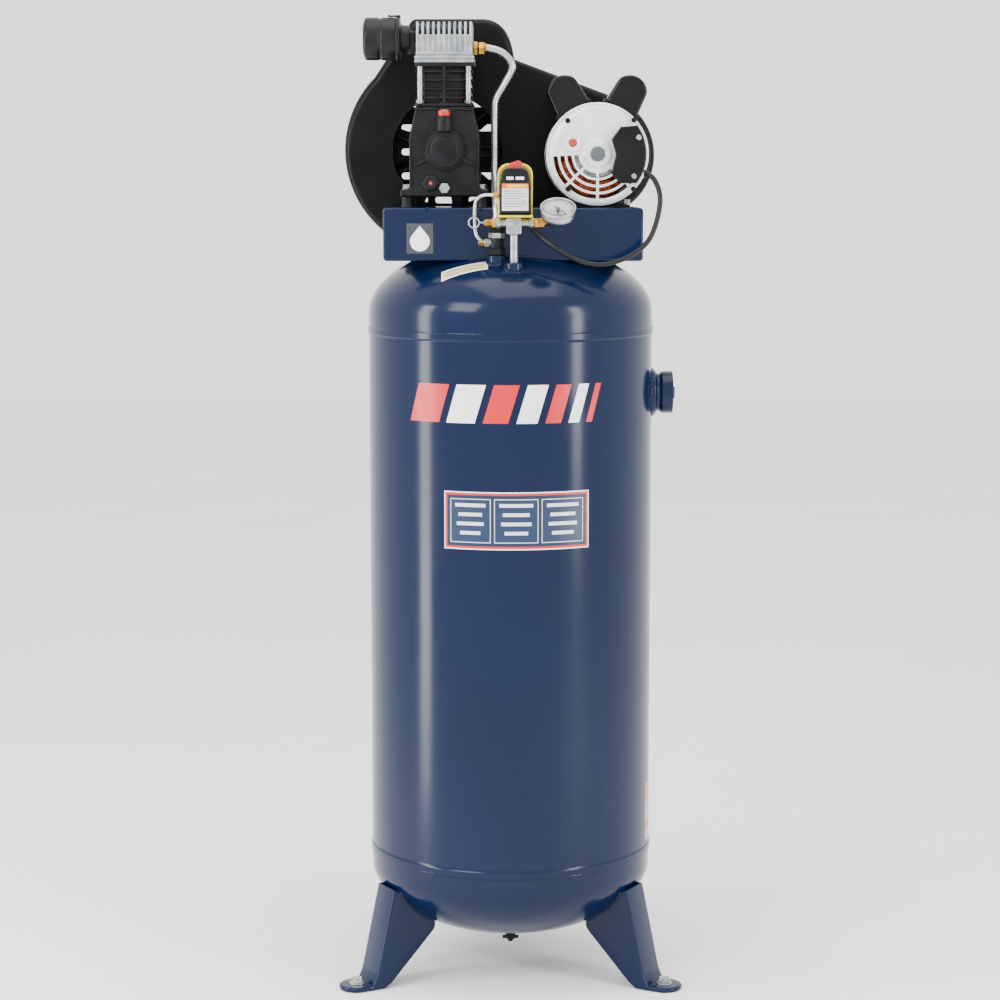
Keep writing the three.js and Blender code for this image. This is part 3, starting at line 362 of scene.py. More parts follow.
def material(maker, *args):
    """Each material is made once."""
    key = (maker.__name__, *args)
    if key not in MATERIALS:
        MATERIALS[key] = maker(*args)
    return MATERIALS[key]


# ---------- mesh building ----------
TURNS = {  # takes a shape's own +Z to an axis of the frame
    "X": Matrix(((0, 0, 1, 0), (1, 0, 0, 0), (0, 1, 0, 0), (0, 0, 0, 1))),
    "Y": Matrix(((1, 0, 0, 0), (0, 0, 1, 0), (0, -1, 0, 0), (0, 0, 0, 1))),
    "Z": Matrix.Identity(4),
}
PLANES = {  # takes a flat outline and its thickness to a plane of the frame
    "XZ": Matrix(((1, 0, 0, 0), (0, 0, -1, 0), (0, 1, 0, 0), (0, 0, 0, 1))),
    "XY": Matrix.Identity(4),
    "YZ": Matrix(((0, 0, 1, 0), (1, 0, 0, 0), (0, 1, 0, 0), (0, 0, 0, 1))),
}


def shade(mesh, smooth=32):
    mesh.shade_smooth()
    mesh.set_sharp_from_angle(angle=math.radians(smooth))


def object_from(name, bm, smooth=32):
    """Closes a bmesh in millimetres into an object in metres, smooth up to an angle in degrees."""
    bmesh.ops.remove_doubles(bm, verts=bm.verts, dist=1e-4)
    bmesh.ops.recalc_face_normals(bm, faces=bm.faces)
    bm.transform(TO_FRAME)
    mesh = bpy.data.meshes.new(name)
    bm.to_mesh(mesh)
    bm.free()
    shade(mesh, smooth)
    made = bpy.data.objects.new(name, mesh)
    bpy.context.scene.collection.objects.link(made)
    return made


def from_curve(name, curve, matrix=Matrix.Identity(4), smooth=32):
    """A curve's own surface as a piece."""
    holder = bpy.data.objects.new(name, curve)
    bpy.context.scene.collection.objects.link(holder)
    bpy.context.view_layer.update()
    mesh = bpy.data.meshes.new_from_object(holder.evaluated_get(bpy.context.evaluated_depsgraph_get()))
    bpy.data.objects.remove(holder)
    mesh.transform(matrix)
    bm = bmesh.new()
    bm.from_mesh(mesh)
    return object_from(name, bm, smooth)


def rounded(points, radius, steps=3):
    """A closed outline with its corners rounded; a point may carry its own radius as a third value."""
    out = []
    for i, point in enumerate(points):
        here = Vector(point[:2])
        bend = point[2] if len(point) > 2 else radius
        if bend <= 0:
            out.append(tuple(here))
            continue
        before = Vector(points[i - 1][:2]) - here
        after = Vector(points[(i + 1) % len(points)][:2]) - here
        reach = min(bend, 0.48 * before.length, 0.48 * after.length)
        start, end = here + before.normalized() * reach, here + after.normalized() * reach
        for k in range(steps + 1):
            t = k / steps
            out.append(tuple(start * (1 - t) ** 2 + here * 2 * t * (1 - t) + end * t**2))
    return out


def arc(cx, cy, radius, start, end, steps=24):
    """Points on an arc, with angles in degrees."""
    turns = [math.radians(start + (end - start) * k / steps) for k in range(steps + 1)]
    return [(cx + radius * math.cos(t), cy + radius * math.sin(t)) for t in turns]


def circle(cx, cy, radius, steps=48):
    return arc(cx, cy, radius, 0, 360, steps)[:-1]


def turn(name, profile, at=(0, 0, 0), axis="Z", steps=64, smooth=32):
    """A lathe piece from (radius, height) points; a closed profile repeats its first point."""
    bm = bmesh.new()
    place = Matrix.Translation(at) @ TURNS[axis]
    closed = profile[0] == profile[-1]
    rings = []
    for r, h in profile[:-1] if closed else profile:
        count = 1 if r < 1e-6 else steps
        angles = [2 * math.pi * k / steps for k in range(count)]
        rings.append([bm.verts.new(place @ Vector((r * math.cos(a), r * math.sin(a), h))) for a in angles])
    pairs = list(zip(rings, rings[1:])) + ([(rings[-1], rings[0])] if closed else [])
    for low, high in pairs:
        for k in range(steps if len(low) > 1 or len(high) > 1 else 0):
            n = (k + 1) % steps
            corners = (low[k % len(low)], low[n % len(low)], high[n % len(high)], high[k % len(high)])
            bm.faces.new(list(dict.fromkeys(corners)))
    return object_from(name, bm, smooth)


def rod(name, radius, h0, h1, at=(0, 0, 0), axis="Z", steps=32, edge=0.6):
    """A bar with rounded ends."""
    e = min(edge, radius * 0.5, abs(h1 - h0) * 0.4)
    profile = [(0, h0), (radius - e, h0), (radius - e * 0.3, h0 + e * 0.3), (radius, h0 + e)]
    profile += [(radius, h1 - e), (radius - e * 0.3, h1 - e * 0.3), (radius - e, h1), (0, h1)]
    return turn(name, profile, at, axis, steps)


def ring(name, inner, outer, h0, h1, at=(0, 0, 0), axis="Z", steps=64, edge=0.8):
    """A ring of rectangular section with rounded edges."""
    section = rounded([(inner, h0), (outer, h0), (outer, h1), (inner, h1)], edge)
    return turn(name, section + [section[0]], at, axis, steps)


def plate(name, outlines, low, high, plane="XZ", edge=0.8, rounds=1, smooth=32):
    """An outline, with any holes after it, made into a plate from low to high with rounded edges."""
    curve = bpy.data.curves.new(name, "CURVE")
    curve.dimensions = "2D"
    curve.fill_mode = "BOTH"
    edge = min(edge, (high - low) * 0.45)
    curve.extrude = (high - low) / 2 - edge
    curve.bevel_depth = edge
    curve.offset = -edge
    curve.bevel_resolution = rounds
    for points in outlines:
        spline = curve.splines.new("POLY")
        spline.points.add(len(points) - 1)
        for point, (u, v) in zip(spline.points, points):
            point.co = (u, v, 0, 1)
        spline.use_cyclic_u = True
    middle = (low + high) / 2
    shift = {"XZ": (0, middle, 0), "XY": (0, 0, middle), "YZ": (middle, 0, 0)}[plane]
    return from_curve(name, curve, Matrix.Translation(shift) @ PLANES[plane], smooth)


def block(name, x0, x1, y0, y1, z0, z1, edge=0.8, rounds=1):
    """A bar with rounded edges."""
    edge = min(edge, 0.3 * (x1 - x0), 0.3 * (z1 - z0), 0.3 * (y1 - y0))
    outline = rounded([(x0, z0), (x1, z0), (x1, z1), (x0, z1)], 1.5 * edge)
    return plate(name, [outline], y0, y1, "XZ", edge, rounds)


def smooth_path(points, count=90):
    """A smooth line through the points."""
    line = [Vector(p) for p in points]
    line = [line[0] * 2 - line[1]] + line + [line[-1] * 2 - line[-2]]
    spans = len(line) - 3
    out = []
    for k in range(count + 1):
        t = k / count * spans
        i = min(int(t), spans - 1)
        f = t - i
        a, b, c, d = line[i : i + 4]
        out.append(
            (
                2 * b + (c - a) * f + (2 * a - 5 * b + 4 * c - d) * f**2 + (3 * b - a - 3 * c + d) * f**3
            ) / 2
        )
    return out


def bar_curve(name, points, radius, closed=False, radii=None, resolution=4):
    """A curve with a round section; radii scale it at each point."""
    curve = bpy.data.curves.new(name, "CURVE")
    curve.dimensions = "3D"
    curve.bevel_depth = radius
    curve.bevel_resolution = resolution
    curve.use_fill_caps = True
    spline = curve.splines.new("POLY")
    spline.points.add(len(points) - 1)
    for i, (point, place) in enumerate(zip(spline.points, points)):
        point.co = (*place, 1)
        point.radius = radii[i] if radii else 1
    spline.use_cyclic_u = closed
    return curve


def sweep(name, points, radius, closed=False, radii=None, resolution=4):
    """A round bar along points in millimetres."""
    return from_curve(name, bar_curve(name, points, radius, closed, radii, resolution))


def weld(name, points, closed=False, share=1.0):
    """A weld bead, rippled by the torch's even steps."""
    radius = bpy.context.scene.compressor_sizes.weld / MM * share
    radii = [1 + 0.13 * math.sin(i * 2.1) for i in range(len(points))]
    return coat(sweep(name, points, radius, closed, radii, 3), powder_coat)


def settle(piece, smooth=32):
    """Applies a piece's modifiers to its mesh."""
    bpy.context.view_layer.update()
    mesh = bpy.data.meshes.new_from_object(piece.evaluated_get(bpy.context.evaluated_depsgraph_get()))
    piece.modifiers.clear()
    piece.data = mesh
    shade(mesh, smooth)
    return piece


def carve(piece, *tools, operation="DIFFERENCE"):
    """Cuts tools out of a piece."""
    for tool in tools:
        step = piece.modifiers.new("carve", "BOOLEAN")
        step.operation = operation
        step.solver = "EXACT"
        step.object = tool
    settle(piece)
    bm = bmesh.new()
    bm.from_mesh(piece.data)
    bmesh.ops.remove_doubles(bm, verts=bm.verts, dist=5e-6)
    bmesh.ops.dissolve_degenerate(bm, edges=bm.edges, dist=1e-6)
    bm.to_mesh(piece.data)
    bm.free()
    shade(piece.data)
    for tool in tools:
        bpy.data.objects.remove(tool)
    return piece


def unite(name, *pieces):
    """Several bodies as one piece, each keeping its materials."""
    pieces = [piece for piece in pieces if piece]
    with bpy.context.temp_override(
        active_object=pieces[0], selected_editable_objects=list(pieces), selected_objects=list(pieces)
    ):
        bpy.ops.object.join()
    pieces[0].name = name
    return pieces[0]


def coat(piece, maker, *args):
    """Gives every face of a piece one material."""
    piece.data.materials.clear()
    piece.data.materials.append(material(maker, *args))
    for face in piece.data.polygons:
        face.material_index = 0
    return piece


def about(piece, degrees):
    """Turns a piece about the receiver's axis."""
    centre = Matrix.Translation((0, AXIS_Y, 0))
    piece.data.transform(centre @ Matrix.Rotation(math.radians(degrees), 4, "Z") @ centre.inverted())
    return piece


def moved(piece, matrix):
    """Moves a piece by a matrix in millimetres about the receiver's axis."""
    piece.data.transform(TO_FRAME @ matrix @ TO_FRAME.inverted())
    return piece


def fit(piece, body, slot, *nodes):
    """Fits a finished piece to a body of the frame, in the place of its nodes."""
    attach(piece, body)
    if nodes:
        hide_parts(*nodes)
    return piece


def keep_node(node, maker):
    """A frame node that shows as it is, in a better finish."""
    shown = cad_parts[node]
    shown.data.materials.clear()
    shown.data.materials.append(material(maker))
    for face in shown.data.polygons:
        face.material_index = 0


# ---------- geometry nodes ----------
def new_tree(name, inputs):
    """An empty tree with named inputs of (kind, default) and one geometry output."""
    tree = bpy.data.node_groups.new(name, "GeometryNodeTree")
    for title, (kind, default) in inputs.items():
        socket = tree.interface.new_socket(name=title, in_out="INPUT", socket_type=f"NodeSocket{kind}")
        if default is not None:
            socket.default_value = default
    tree.interface.new_socket(name="Copies", in_out="OUTPUT", socket_type="NodeSocketGeometry")
    return tree, add_node(tree, "NodeGroupInput")


def end_tree(tree, placed, given):
    """Makes a tree's copies real and gives them their finish."""
    real = add_node(tree, "GeometryNodeRealizeInstances", {0: placed.outputs[0]})
    finish = {"Geometry": real.outputs[0], "Material": given.outputs["Finish"]}
    painted = add_node(tree, "GeometryNodeSetMaterial", finish)
    add_node(tree, "NodeGroupOutput", {0: painted.outputs[0]})
    return tree


def spots_tree():
    """Copies a unit onto each point of a mesh, turned by the point's own angles."""
    inputs = {"Points": ("Geometry", None), "Unit": ("Object", None), "Unit Size": ("Float", 1.0)}
    tree, given = new_tree("unit_on_points", {**inputs, "Finish": ("Material", None)})
    unit = add_node(tree, "GeometryNodeObjectInfo", {0: given.outputs["Unit"]})
    angles = add_node(tree, "GeometryNodeInputNamedAttribute", {"Name": "turn"}, data_type="FLOAT_VECTOR")
    facing = add_node(tree, "FunctionNodeEulerToRotation", {0: angles.outputs[0]})
    placing = {"Points": given.outputs["Points"], "Instance": unit.outputs["Geometry"]}
    placing |= {"Rotation": facing.outputs[0], "Scale": given.outputs["Unit Size"]}
    return end_tree(tree, add_node(tree, "GeometryNodeInstanceOnPoints", placing), given)


def round_tree():
    """Copies a unit in even steps about an axis along Y."""
    inputs = {"Base": ("Geometry", None), "Unit": ("Object", None), "Count": ("Int", 9)}
    tree, given = new_tree(
        "unit_round_axis", {**inputs, "Centre": ("Vector", None), "Finish": ("Material", None)}
    )
    unit = add_node(tree, "GeometryNodeObjectInfo", {0: given.outputs["Unit"]})
    dots = add_node(tree, "GeometryNodePoints", {0: given.outputs["Count"], 1: given.outputs["Centre"]})
    index = add_node(tree, "GeometryNodeInputIndex")
    step = add_node(tree, "ShaderNodeMath", {0: math.tau, 1: given.outputs["Count"]}, operation="DIVIDE")
    angle = add_node(
        tree, "ShaderNodeMath", {0: index.outputs[0], 1: step.outputs[0]}, operation="MULTIPLY"
    )
    turned = add_node(tree, "ShaderNodeCombineXYZ", {"Y": angle.outputs[0]})
    facing = add_node(tree, "FunctionNodeEulerToRotation", {0: turned.outputs[0]})
    placing = {
        "Points": dots.outputs[0], "Instance": unit.outputs["Geometry"], "Rotation": facing.outputs[0]
    }
    return end_tree(tree, add_node(tree, "GeometryNodeInstanceOnPoints", placing), given)


def run_tree(base, tree, unit, maker, **inputs):
    """Runs a tree on a base object, then keeps the result as a plain mesh."""
    sockets = {item.name: item.identifier for item in tree.interface.items_tree if item.in_out == "INPUT"}
    unit.data.transform(Matrix.Translation((0, -AXIS_Y, 0)))  # a unit is kept about the origin
    step = base.modifiers.new("copies", "NODES")
    step.node_group = tree
    step[sockets["Unit"]] = unit
    step[sockets["Finish"]] = material(maker)
    for key, value in inputs.items():
        step[sockets[key]] = value
    settle(base)
    bpy.data.objects.remove(unit)
    return base


def at_spots(name, unit, spots, maker, size=1.0):
    """Copies of a unit at (place, euler angles) spots, as one piece."""
    mesh = bpy.data.meshes.new(name)
    mesh.from_pydata([TO_FRAME @ Vector(place) for place, _ in spots], [], [])
    turns = mesh.attributes.new("turn", "FLOAT_VECTOR", "POINT")
    for value, (_, angles) in zip(turns.data, spots):
        value.vector = angles
    base = bpy.data.objects.new(name, mesh)
    bpy.context.scene.collection.objects.link(base)
    tree = bpy.data.node_groups.get("unit_on_points") or spots_tree()
    return run_tree(base, tree, unit, maker, **{"Unit Size": size})


def round_axis(name, unit, count, centre, maker):
    """Copies of a unit about an axis along Y through centre."""
    base = bpy.data.objects.new(name, bpy.data.meshes.new(name))
    bpy.context.scene.collection.objects.link(base)
    tree = bpy.data.node_groups.get("unit_round_axis") or round_tree()
    return run_tree(base, tree, unit, maker, Count=count, Centre=tuple(TO_FRAME @ Vector(centre)))


# ---------- fasteners ----------
TO_FRONT = (math.radians(90), 0, 0)  # turns a unit's +Z to the front
UPRIGHT = (0, 0, 0)


def hexagon(name, flats, h0, h1, at=(0, 0, 0), axis="Z"):
    """A hexagon bar with the turned chamfers of a nut."""
    corner = flats / math.sqrt(3)
    fall = corner * 0.1
    profile = [
        (0, h0), (corner * 0.86, h0), (corner, h0 + fall), (corner, h1 - fall), (corner * 0.86, h1),
        (0, h1)
    ]
    return turn(name, profile, at, axis, 6, 20)


def hex_bolt(flats, washer, depth=None):
    """A bolt head on its washer, standing along +Z."""
    top = 1.8 + (depth or flats * 0.62)
    head = hexagon("bolt", flats, 1.6, top)
    return unite("bolt", head, rod("washer", washer, 0, 1.8, steps=28, edge=0.5))


def cross_screw(radius):
    """A domed screw head with a cross recess, standing along +Z."""
    depth = radius * 0.62
    dome = [
        (0, 0), (radius, 0), (radius, depth * 0.4), (radius * 0.74, depth * 0.84), (radius * 0.3, depth),
        (0, depth)
    ]
    head = turn("screw", dome, steps=20)
    long, short = radius * 0.58, radius * 0.14
    slots = [
        block("slot", -x, x, -y, y, depth * 0.4, depth * 2, 0.02)
        for x, y in ((long, short), (short, long))
    ]
    return carve(head, *slots)


# ---------- stage ----------
def area_light(name, place, target, size, power, size_y=None):
    data = bpy.data.lights.new(name, "AREA")
    data.shape = "RECTANGLE"
    data.size = size
    data.size_y = size_y or size
    data.energy = power
    lamp = bpy.data.objects.new(name, data)
    bpy.context.scene.collection.objects.link(lamp)
    lamp.location = place
    lamp.rotation_euler = (Vector(target) - Vector(place)).to_track_quat("-Z", "Y").to_euler()
    return lamp


class COMPRESSOR_OT_stage(bpy.types.Operator):
    """Camera, soft studio light and a pale floor."""

    bl_idname = "compressor.stage"
    bl_label = "Stage"
    bl_options = {"REGISTER", "UNDO"}

    def execute(self, context):
        scene = context.scene
        camera = bpy.data.objects.new("camera", bpy.data.cameras.new("camera"))
        scene.collection.objects.link(camera)
        camera.location = (0, -4.547, 1.439)
        camera.rotation_euler = (math.radians(90 - 7.3), 0, 0)
        camera.data.lens = 90
        camera.data.sensor_width = 36
        camera.data.shift_x = -0.0105
        scene.camera = camera

        bm = bmesh.new()
        bmesh.ops.create_grid(bm, x_segments=2, y_segments=2, size=12)
        mesh = bpy.data.meshes.new("floor")
        bm.to_mesh(mesh)
        bm.free()
        floor = bpy.data.objects.new("floor", mesh)
        scene.collection.objects.link(floor)
        coat(floor, floor_paint)

        world = bpy.data.worlds.new("studio")
        scene.world = world
        world.use_nodes = True
        sky = world.node_tree.nodes["Background"]
        sky.inputs["Color"].default_value = linear("#FFFFFF")
        sky.inputs["Strength"].default_value = 1.9
        key = area_light("key", (-2.6, -3.2, 3.4), (0, 0, 1.0), 1.8, 110)
        side = area_light("side", (2.9, -2.2, 1.6), (0, 0, 0.9), 0.5, 90, 2.6)
        strip = area_light("strip", (-2.3, -0.9, 1.1), (0, 0, 0.8), 0.4, 60, 2.4)
        top = area_light("top", (0.2, -0.6, 4.2), (0, 0, 1.4), 2.4, 60)
        return {"FINISHED"}


# ---------- motor lead ----------
class COMPRESSOR_OT_motor_lead(bpy.types.Operator):
    """The lead that runs from the motor's terminal cover down and back up into the pressure switch."""

    bl_idname = "compressor.motor_lead"
    bl_label = "Motor lead"
    bl_options = {"REGISTER", "UNDO"}

    def execute(self, context):
        route = [
            (229.5, -157, 1449), (236, -157, 1448.5), (247, -160, 1440), (256, -165, 1419),
            (257, -170, 1397), (250, -178, 1364), (236, -184, 1334), (210, -190, 1312), (176, -194, 1298),
            (147, -196, 1295), (116, -196, 1302), (80, -192, 1322), (53, -179, 1342), (37, -175.5, 1357),
            (33, -175.5, 1366), (33, -175.5, 1374.7),
        ]
        radius = 4.5 * MM
        line = [TO_FRAME @ p for p in smooth_path(route, 120)]
        lead = bpy.data.objects.new("motor_lead", bar_curve("motor_lead", line, radius, resolution=5))
        context.scene.collection.objects.link(lead)
        lead.data.materials.append(material(cable_vinyl))
        fit(lead, FRAME, "cable_rubber", "motor_cable")

        near = smooth_path(route, 120)[:9]
        swell = [1.75 - 0.5 * k / 8 - (0.14 if k % 2 else 0) for k in range(9)]
        relief = coat(sweep("lead_strain_relief", near, 4.6, radii=swell, resolution=5), cable_vinyl)
        nut = ring("nut", 4.9, 8.2, 1362, 1372, (33, -175.5, 0), steps=32)
        grommet = coat(
            unite("lead_gland", nut, hexagon("gland", 17, 1370, 1374, (33, -175.5, 0))), moulded_black
        )
        fit(relief, FRAME, "cable_rubber")
        fit(grommet, FRAME, "black_plastic")
        return {"FINISHED"}


# ---------- receiver ----------
HEAD_RISE = 127
SKIRT = 26
LAP = 12
WALL = 3
BUNGS = ((6, -188, 1297.3), (-24, -166, 1308.8))


def dome_z(x, y, rise=HEAD_RISE, radius=254):
    """Height above the tangent line of the upper head's outside."""
    return rise * math.sqrt(max(0, 1 - (x * x + y * y) / radius**2))


def head_profile(sign, steps=36):
    """Half section of a head, from its lap over the crown and back inside; sign is -1 for the lower one."""
    start = TANK_HIGH if sign > 0 else TANK_LOW
    lap = TANK_R - WALL - 0.3
    quarter = [math.pi / 2 * k / steps for k in range(steps + 1)]
    out = [(lap, -SKIRT - LAP), (lap, -SKIRT), (TANK_R - 0.8, -SKIRT), (TANK_R, -SKIRT + 0.8)]
    out += [(TANK_R * math.cos(a), HEAD_RISE * math.sin(a)) for a in quarter[:-1]] + [(0, HEAD_RISE)]
    back = [(0, HEAD_RISE - 6)]
    back += [((lap - 3) * math.cos(a), (HEAD_RISE - 6) * math.sin(a)) for a in reversed(quarter[:-1])]
    profile = out + back + [(lap - 3, -SKIRT - LAP)]
    return [(r, start + sign * h) for r, h in profile + [profile[0]]]


class COMPRESSOR_OT_receiver(bpy.types.Operator):
    """The receiver: rolled shell, two dished heads with their seams, and the bungs on top."""

    bl_idname = "compressor.receiver"
    bl_label = "Receiver"
    bl_options = {"REGISTER", "UNDO"}

    def execute(self, context):
        low, high = TANK_LOW + SKIRT, TANK_HIGH - SKIRT
        bead = TANK_R + 2
        section = [
            (TANK_R - WALL, low + 0.3), (bead, low + 0.3), (bead, low + 10), (TANK_R + 0.3, low + 12.5),
            (TANK_R, low + 15), (TANK_R, high - 15), (TANK_R + 0.3, high - 12.5), (bead, high - 10),
            (bead, high - 0.3), (TANK_R - WALL, high - 0.3),
        ]
        shell = turn("shell", section + [section[0]], steps=160)
        seams = []
        for z in (low - 0.2, high + 0.2):
            points = [(x, y, z) for x, y in circle(0, 0, TANK_R + 0.4, 300)]
            seams.append(weld("seam", points, True, 0.5))
        upright = [(0, TANK_R - 0.6, low + 14 + k * 5) for k in range(int((high - low - 28) / 5))]
        coat(shell, powder_coat)
        fit(
            unite("tank_shell_rolled", shell, weld("seam", upright), *seams), FRAME, "navy_enamel",
            "tank_shell"
        )

        crown = coat(turn("crown", head_profile(1), steps=160), powder_coat)
        parts = [crown]
        for x, y, top in BUNGS:
            parts.append(
                coat(ring("bung", 9.2, 15, top - 24, top, (x, y, 0), steps=40, edge=1.2), powder_coat)
            )
            foot = [(x + dx, y + dy) for dx, dy in circle(0, 0, 15.8, 48)]
            parts.append(weld("weld", [(u, v, TANK_HIGH + dome_z(u, v) + 0.4) for u, v in foot], True))
        fit(unite("tank_head_upper", *parts), FRAME, "navy_enamel", "tank_top_head")

        base = coat(turn("base", head_profile(-1), steps=160), powder_coat)
        drop = TANK_LOW - HEAD_RISE
        bung = coat(ring("bung", 6.4, 15, drop - 8, drop + 6, steps=40, edge=1.2), powder_coat)
        foot = weld("weld", [(x, y, drop + 0.4) for x, y in circle(0, 0, 15.8, 48)], True)
        fit(unite("tank_head_lower", base, bung, foot), FRAME, "navy_enamel", "tank_bottom_head")
        return {"FINISHED"}


class COMPRESSOR_OT_legs(bpy.types.Operator):
    """Three folded channel legs welded to the lower head, each bolted down through a rounded pad."""

    bl_idname = "compressor.legs"
    bl_label = "Legs"
    bl_options = {"REGISTER", "UNDO"}

    def execute(self, context):
        half, steel, top, foot_x, head_x, inner = 33, 5, 178, 298, 258, 174
        tip, pad_r, pad_depth = 318, 32, 9
        hull_profile = [(0, TANK_LOW - HEAD_RISE - 0.3)]
        for k in range(1, 37):
            a = math.pi / 2 * (1 - k / 36)
            hull_profile.append(((TANK_R + 0.3) * math.cos(a), TANK_LOW - (HEAD_RISE + 0.3) * math.sin(a)))
        hull_profile += [(TANK_R + 0.3, TANK_LOW + 60), (0, TANK_LOW + 60)]
        for name, angle in (("leg_front_left", 210), ("leg_front_right", 330), ("leg_rear", 90)):
            side = rounded(
                [
                    (inner, 98, 8), (foot_x - 34, 8, 14), (foot_x - 20, 0, 0), (foot_x + 8, 0, 0),
                    (foot_x - 5, 22, 26), (head_x, top, 0), (inner, top, 0)
                ],
                0, 5,
            )
            channel = plate(name, [side], -half, half, "XZ", 4.5, 3)
            room = [
                (inner - 20, -20), (foot_x - 12.2, -20), (foot_x - 8, 20), (head_x - steel, top + 9),
                (inner - 20, top + 9)
            ]
            hollow = plate("hollow", [room], -half + steel, half - steel, "XZ", 1)
            hull = turn("hull", hull_profile, steps=160)
            carve(channel, hollow, hull)
            pad_line = [(foot_x - 24, -half + 2), (foot_x + 4, -half + 1)] + arc(tip, 0, pad_r, -75, 75, 20)
            pad_line += [(foot_x + 4, half - 1), (foot_x - 24, half - 2)]
            pad = plate("pad", [pad_line, circle(tip, 0, 6.5, 24)[::-1]], 0, pad_depth, "XY", 3.4, 3)
            beads = []
            for y in (-half - 0.5, half + 0.5):
                seam = []
                for z in range(104, top, 3):
                    r2 = (1 - ((TANK_LOW - z) / HEAD_RISE) ** 2) * TANK_R**2
                    x = math.sqrt(r2 - y * y)
                    if x > inner + 2:
                        seam.append((x, y, z))
                beads.append(weld("bead", seam, share=0.8))
            leg = unite(name + "_channel", coat(channel, powder_coat), coat(pad, powder_coat), *beads)
            fit(about(leg, angle), FRAME, "navy_enamel", name)
        spots = []
        for angle in (210, 330, 90):
            a = math.radians(angle)
            spots.append(((tip * math.cos(a), tip * math.sin(a), pad_depth - 0.2), (0, 0, a)))
        bolts = at_spots("foot_bolts", hex_bolt(19, 14.5, 9), spots, zinc_plate)
        fit(bolts, FRAME, "zinc_plate")
        return {"FINISHED"}


class COMPRESSOR_OT_tank_fittings(bpy.types.Operator):
    """The side port with its plug, and the drain valve under the receiver."""

    bl_idname = "compressor.tank_fittings"
    bl_label = "Side port and drain"
    bl_options = {"REGISTER", "UNDO"}

    def execute(self, context):
        low, high = node_box("port_coupling", "port_plug")
        z, reach = (low.z + high.z) / 2, high.x
        bore = 28.9
        section = rounded(
            [
                (bore, TANK_R - 4), (41, TANK_R - 4, 0), (40.5, TANK_R + 6, 3), (34.5, TANK_R + 9, 3),
                (34, reach - 27, 2), (38, reach - 25, 2), (38, reach - 4, 2.5), (bore, reach - 4, 1.5)
            ],
            1,
        )
        port = turn("port", section + [section[0]], (0, 0, z), "X", 72)
        hull = turn("hull", [(0, 0), (TANK_R + 0.3, 0), (TANK_R + 0.3, 1500), (0, 1500)], steps=160)
        coat(carve(port, hull), powder_coat)
        ring_line = [
            (40.5 * math.cos(a), 40.5 * math.sin(a)) for a in (math.tau * k / 80 for k in range(80))
        ]
        bead = weld("bead", [(math.sqrt(TANK_R**2 - u * u) + 0.6, u, z + v) for u, v in ring_line], True)
        fit(unite("side_port", port, bead), FRAME, "navy_enamel", "port_coupling")
        disc = rod("disc", bore - 0.4, TANK_R + 12, reach - 5, (0, 0, z), "X", 64, 1.2)
        square = block("square", reach - 8, reach, -11, 11, z - 11, z + 11, 1.4, 2)
        fit(coat(unite("side_port_plug", disc, square), powder_coat), FRAME, "navy_enamel", "port_plug")

        top = TANK_LOW - HEAD_RISE
        body = rounded(
            [
                (0, top - 36, 0), (4.5, top - 36), (4.5, top - 24.2), (6, top - 24), (6, top + 9),
                (0, top + 9, 0)
            ],
            0.4
        )
        stem = turn("stem", body, steps=32)
        collar = hexagon("collar", 17, top - 24, top - 8.3)
        fit(
            coat(unite("drain_valve", stem, collar), iron_paint), FRAME, "black_plastic",
            "drain_valve_body"
        )
        hub = ring("hub", 6.8, 9.4, top - 31, top - 24.4, steps=36, edge=0.6)
        wings = [
            block("wing", x0, x1, -1.8, 1.8, top - 31, top - 25, 0.9, 2)
            for x0, x1 in ((8.4, 15), (-15, -8.4))
        ]
        handle = coat(unite("drain_valve_wings", hub, *wings), moulded_black)
        fit(handle, "drain_handle", "black_plastic", "drain_valve_handle")
        return {"FINISHED"}


class COMPRESSOR_OT_bed_plate(bpy.types.Operator):
    """The folded bed plate that carries the pump and motor, welded over the upper head."""

    bl_idname = "compressor.bed_plate"
    bl_label = "Bed plate"
    bl_options = {"REGISTER", "UNDO"}

    def execute(self, context):
        left, front, low = BED_LOW
        right, rear, top = BED_HIGH
        steel = 5
        end_depth = top - 0.55 * (top - low)
        tray = block("tray", left, right, front, rear, low, top, 4.5, 3)
        room = block(
            "room", left + steel, right - steel, front + steel, rear - steel, low - 20, top - steel, 1
        )
        ends = [
            block("end", x0, x1, front + steel + 0.1, rear - steel - 0.1, low - 20, end_depth, 1)
            for x0, x1 in ((left - 2, left + steel + 1), (right - steel - 1, right + 2))
        ]
        profile = [(0, TANK_HIGH - 20), (TANK_R + 0.3, TANK_HIGH - 20)]
        for k in range(36):
            a = math.pi / 2 * k / 36
            profile.append(((TANK_R + 0.3) * math.cos(a), TANK_HIGH + (HEAD_RISE + 0.3) * math.sin(a)))
        dome = turn("dome", profile + [(0, TANK_HIGH + HEAD_RISE + 0.3)], steps=160)
        notches = []
        for x in (left + 77, left + 170):
            wedge = [(x - 5, top + 1), (x + 5, top + 1), (x, top - 7)]
            notches.append(plate("notch", [wedge], front - 2, front + 7, "XZ", 0.01))
        carve(tray, room, *ends, dome, *notches)
        coat(tray, powder_coat)
        beads = []
        for y in (front - 0.5, rear + 0.5):
            span = [x for x in range(-150, 151, 3) if TANK_HIGH + dome_z(x, y) > low + 0.5]
            beads.append(weld("bead", [(x, y, TANK_HIGH + dome_z(x, y) + 0.4) for x in span]))
        fit(unite("bed_plate", tray, *beads), FRAME, "navy_enamel", "platform")
        return {"FINISHED"}


# ---------- pump ----------
BORE_R = 35
BORE_YS = (-66, 18)
CASE_FRONT = -108
CASE_REAR = 62


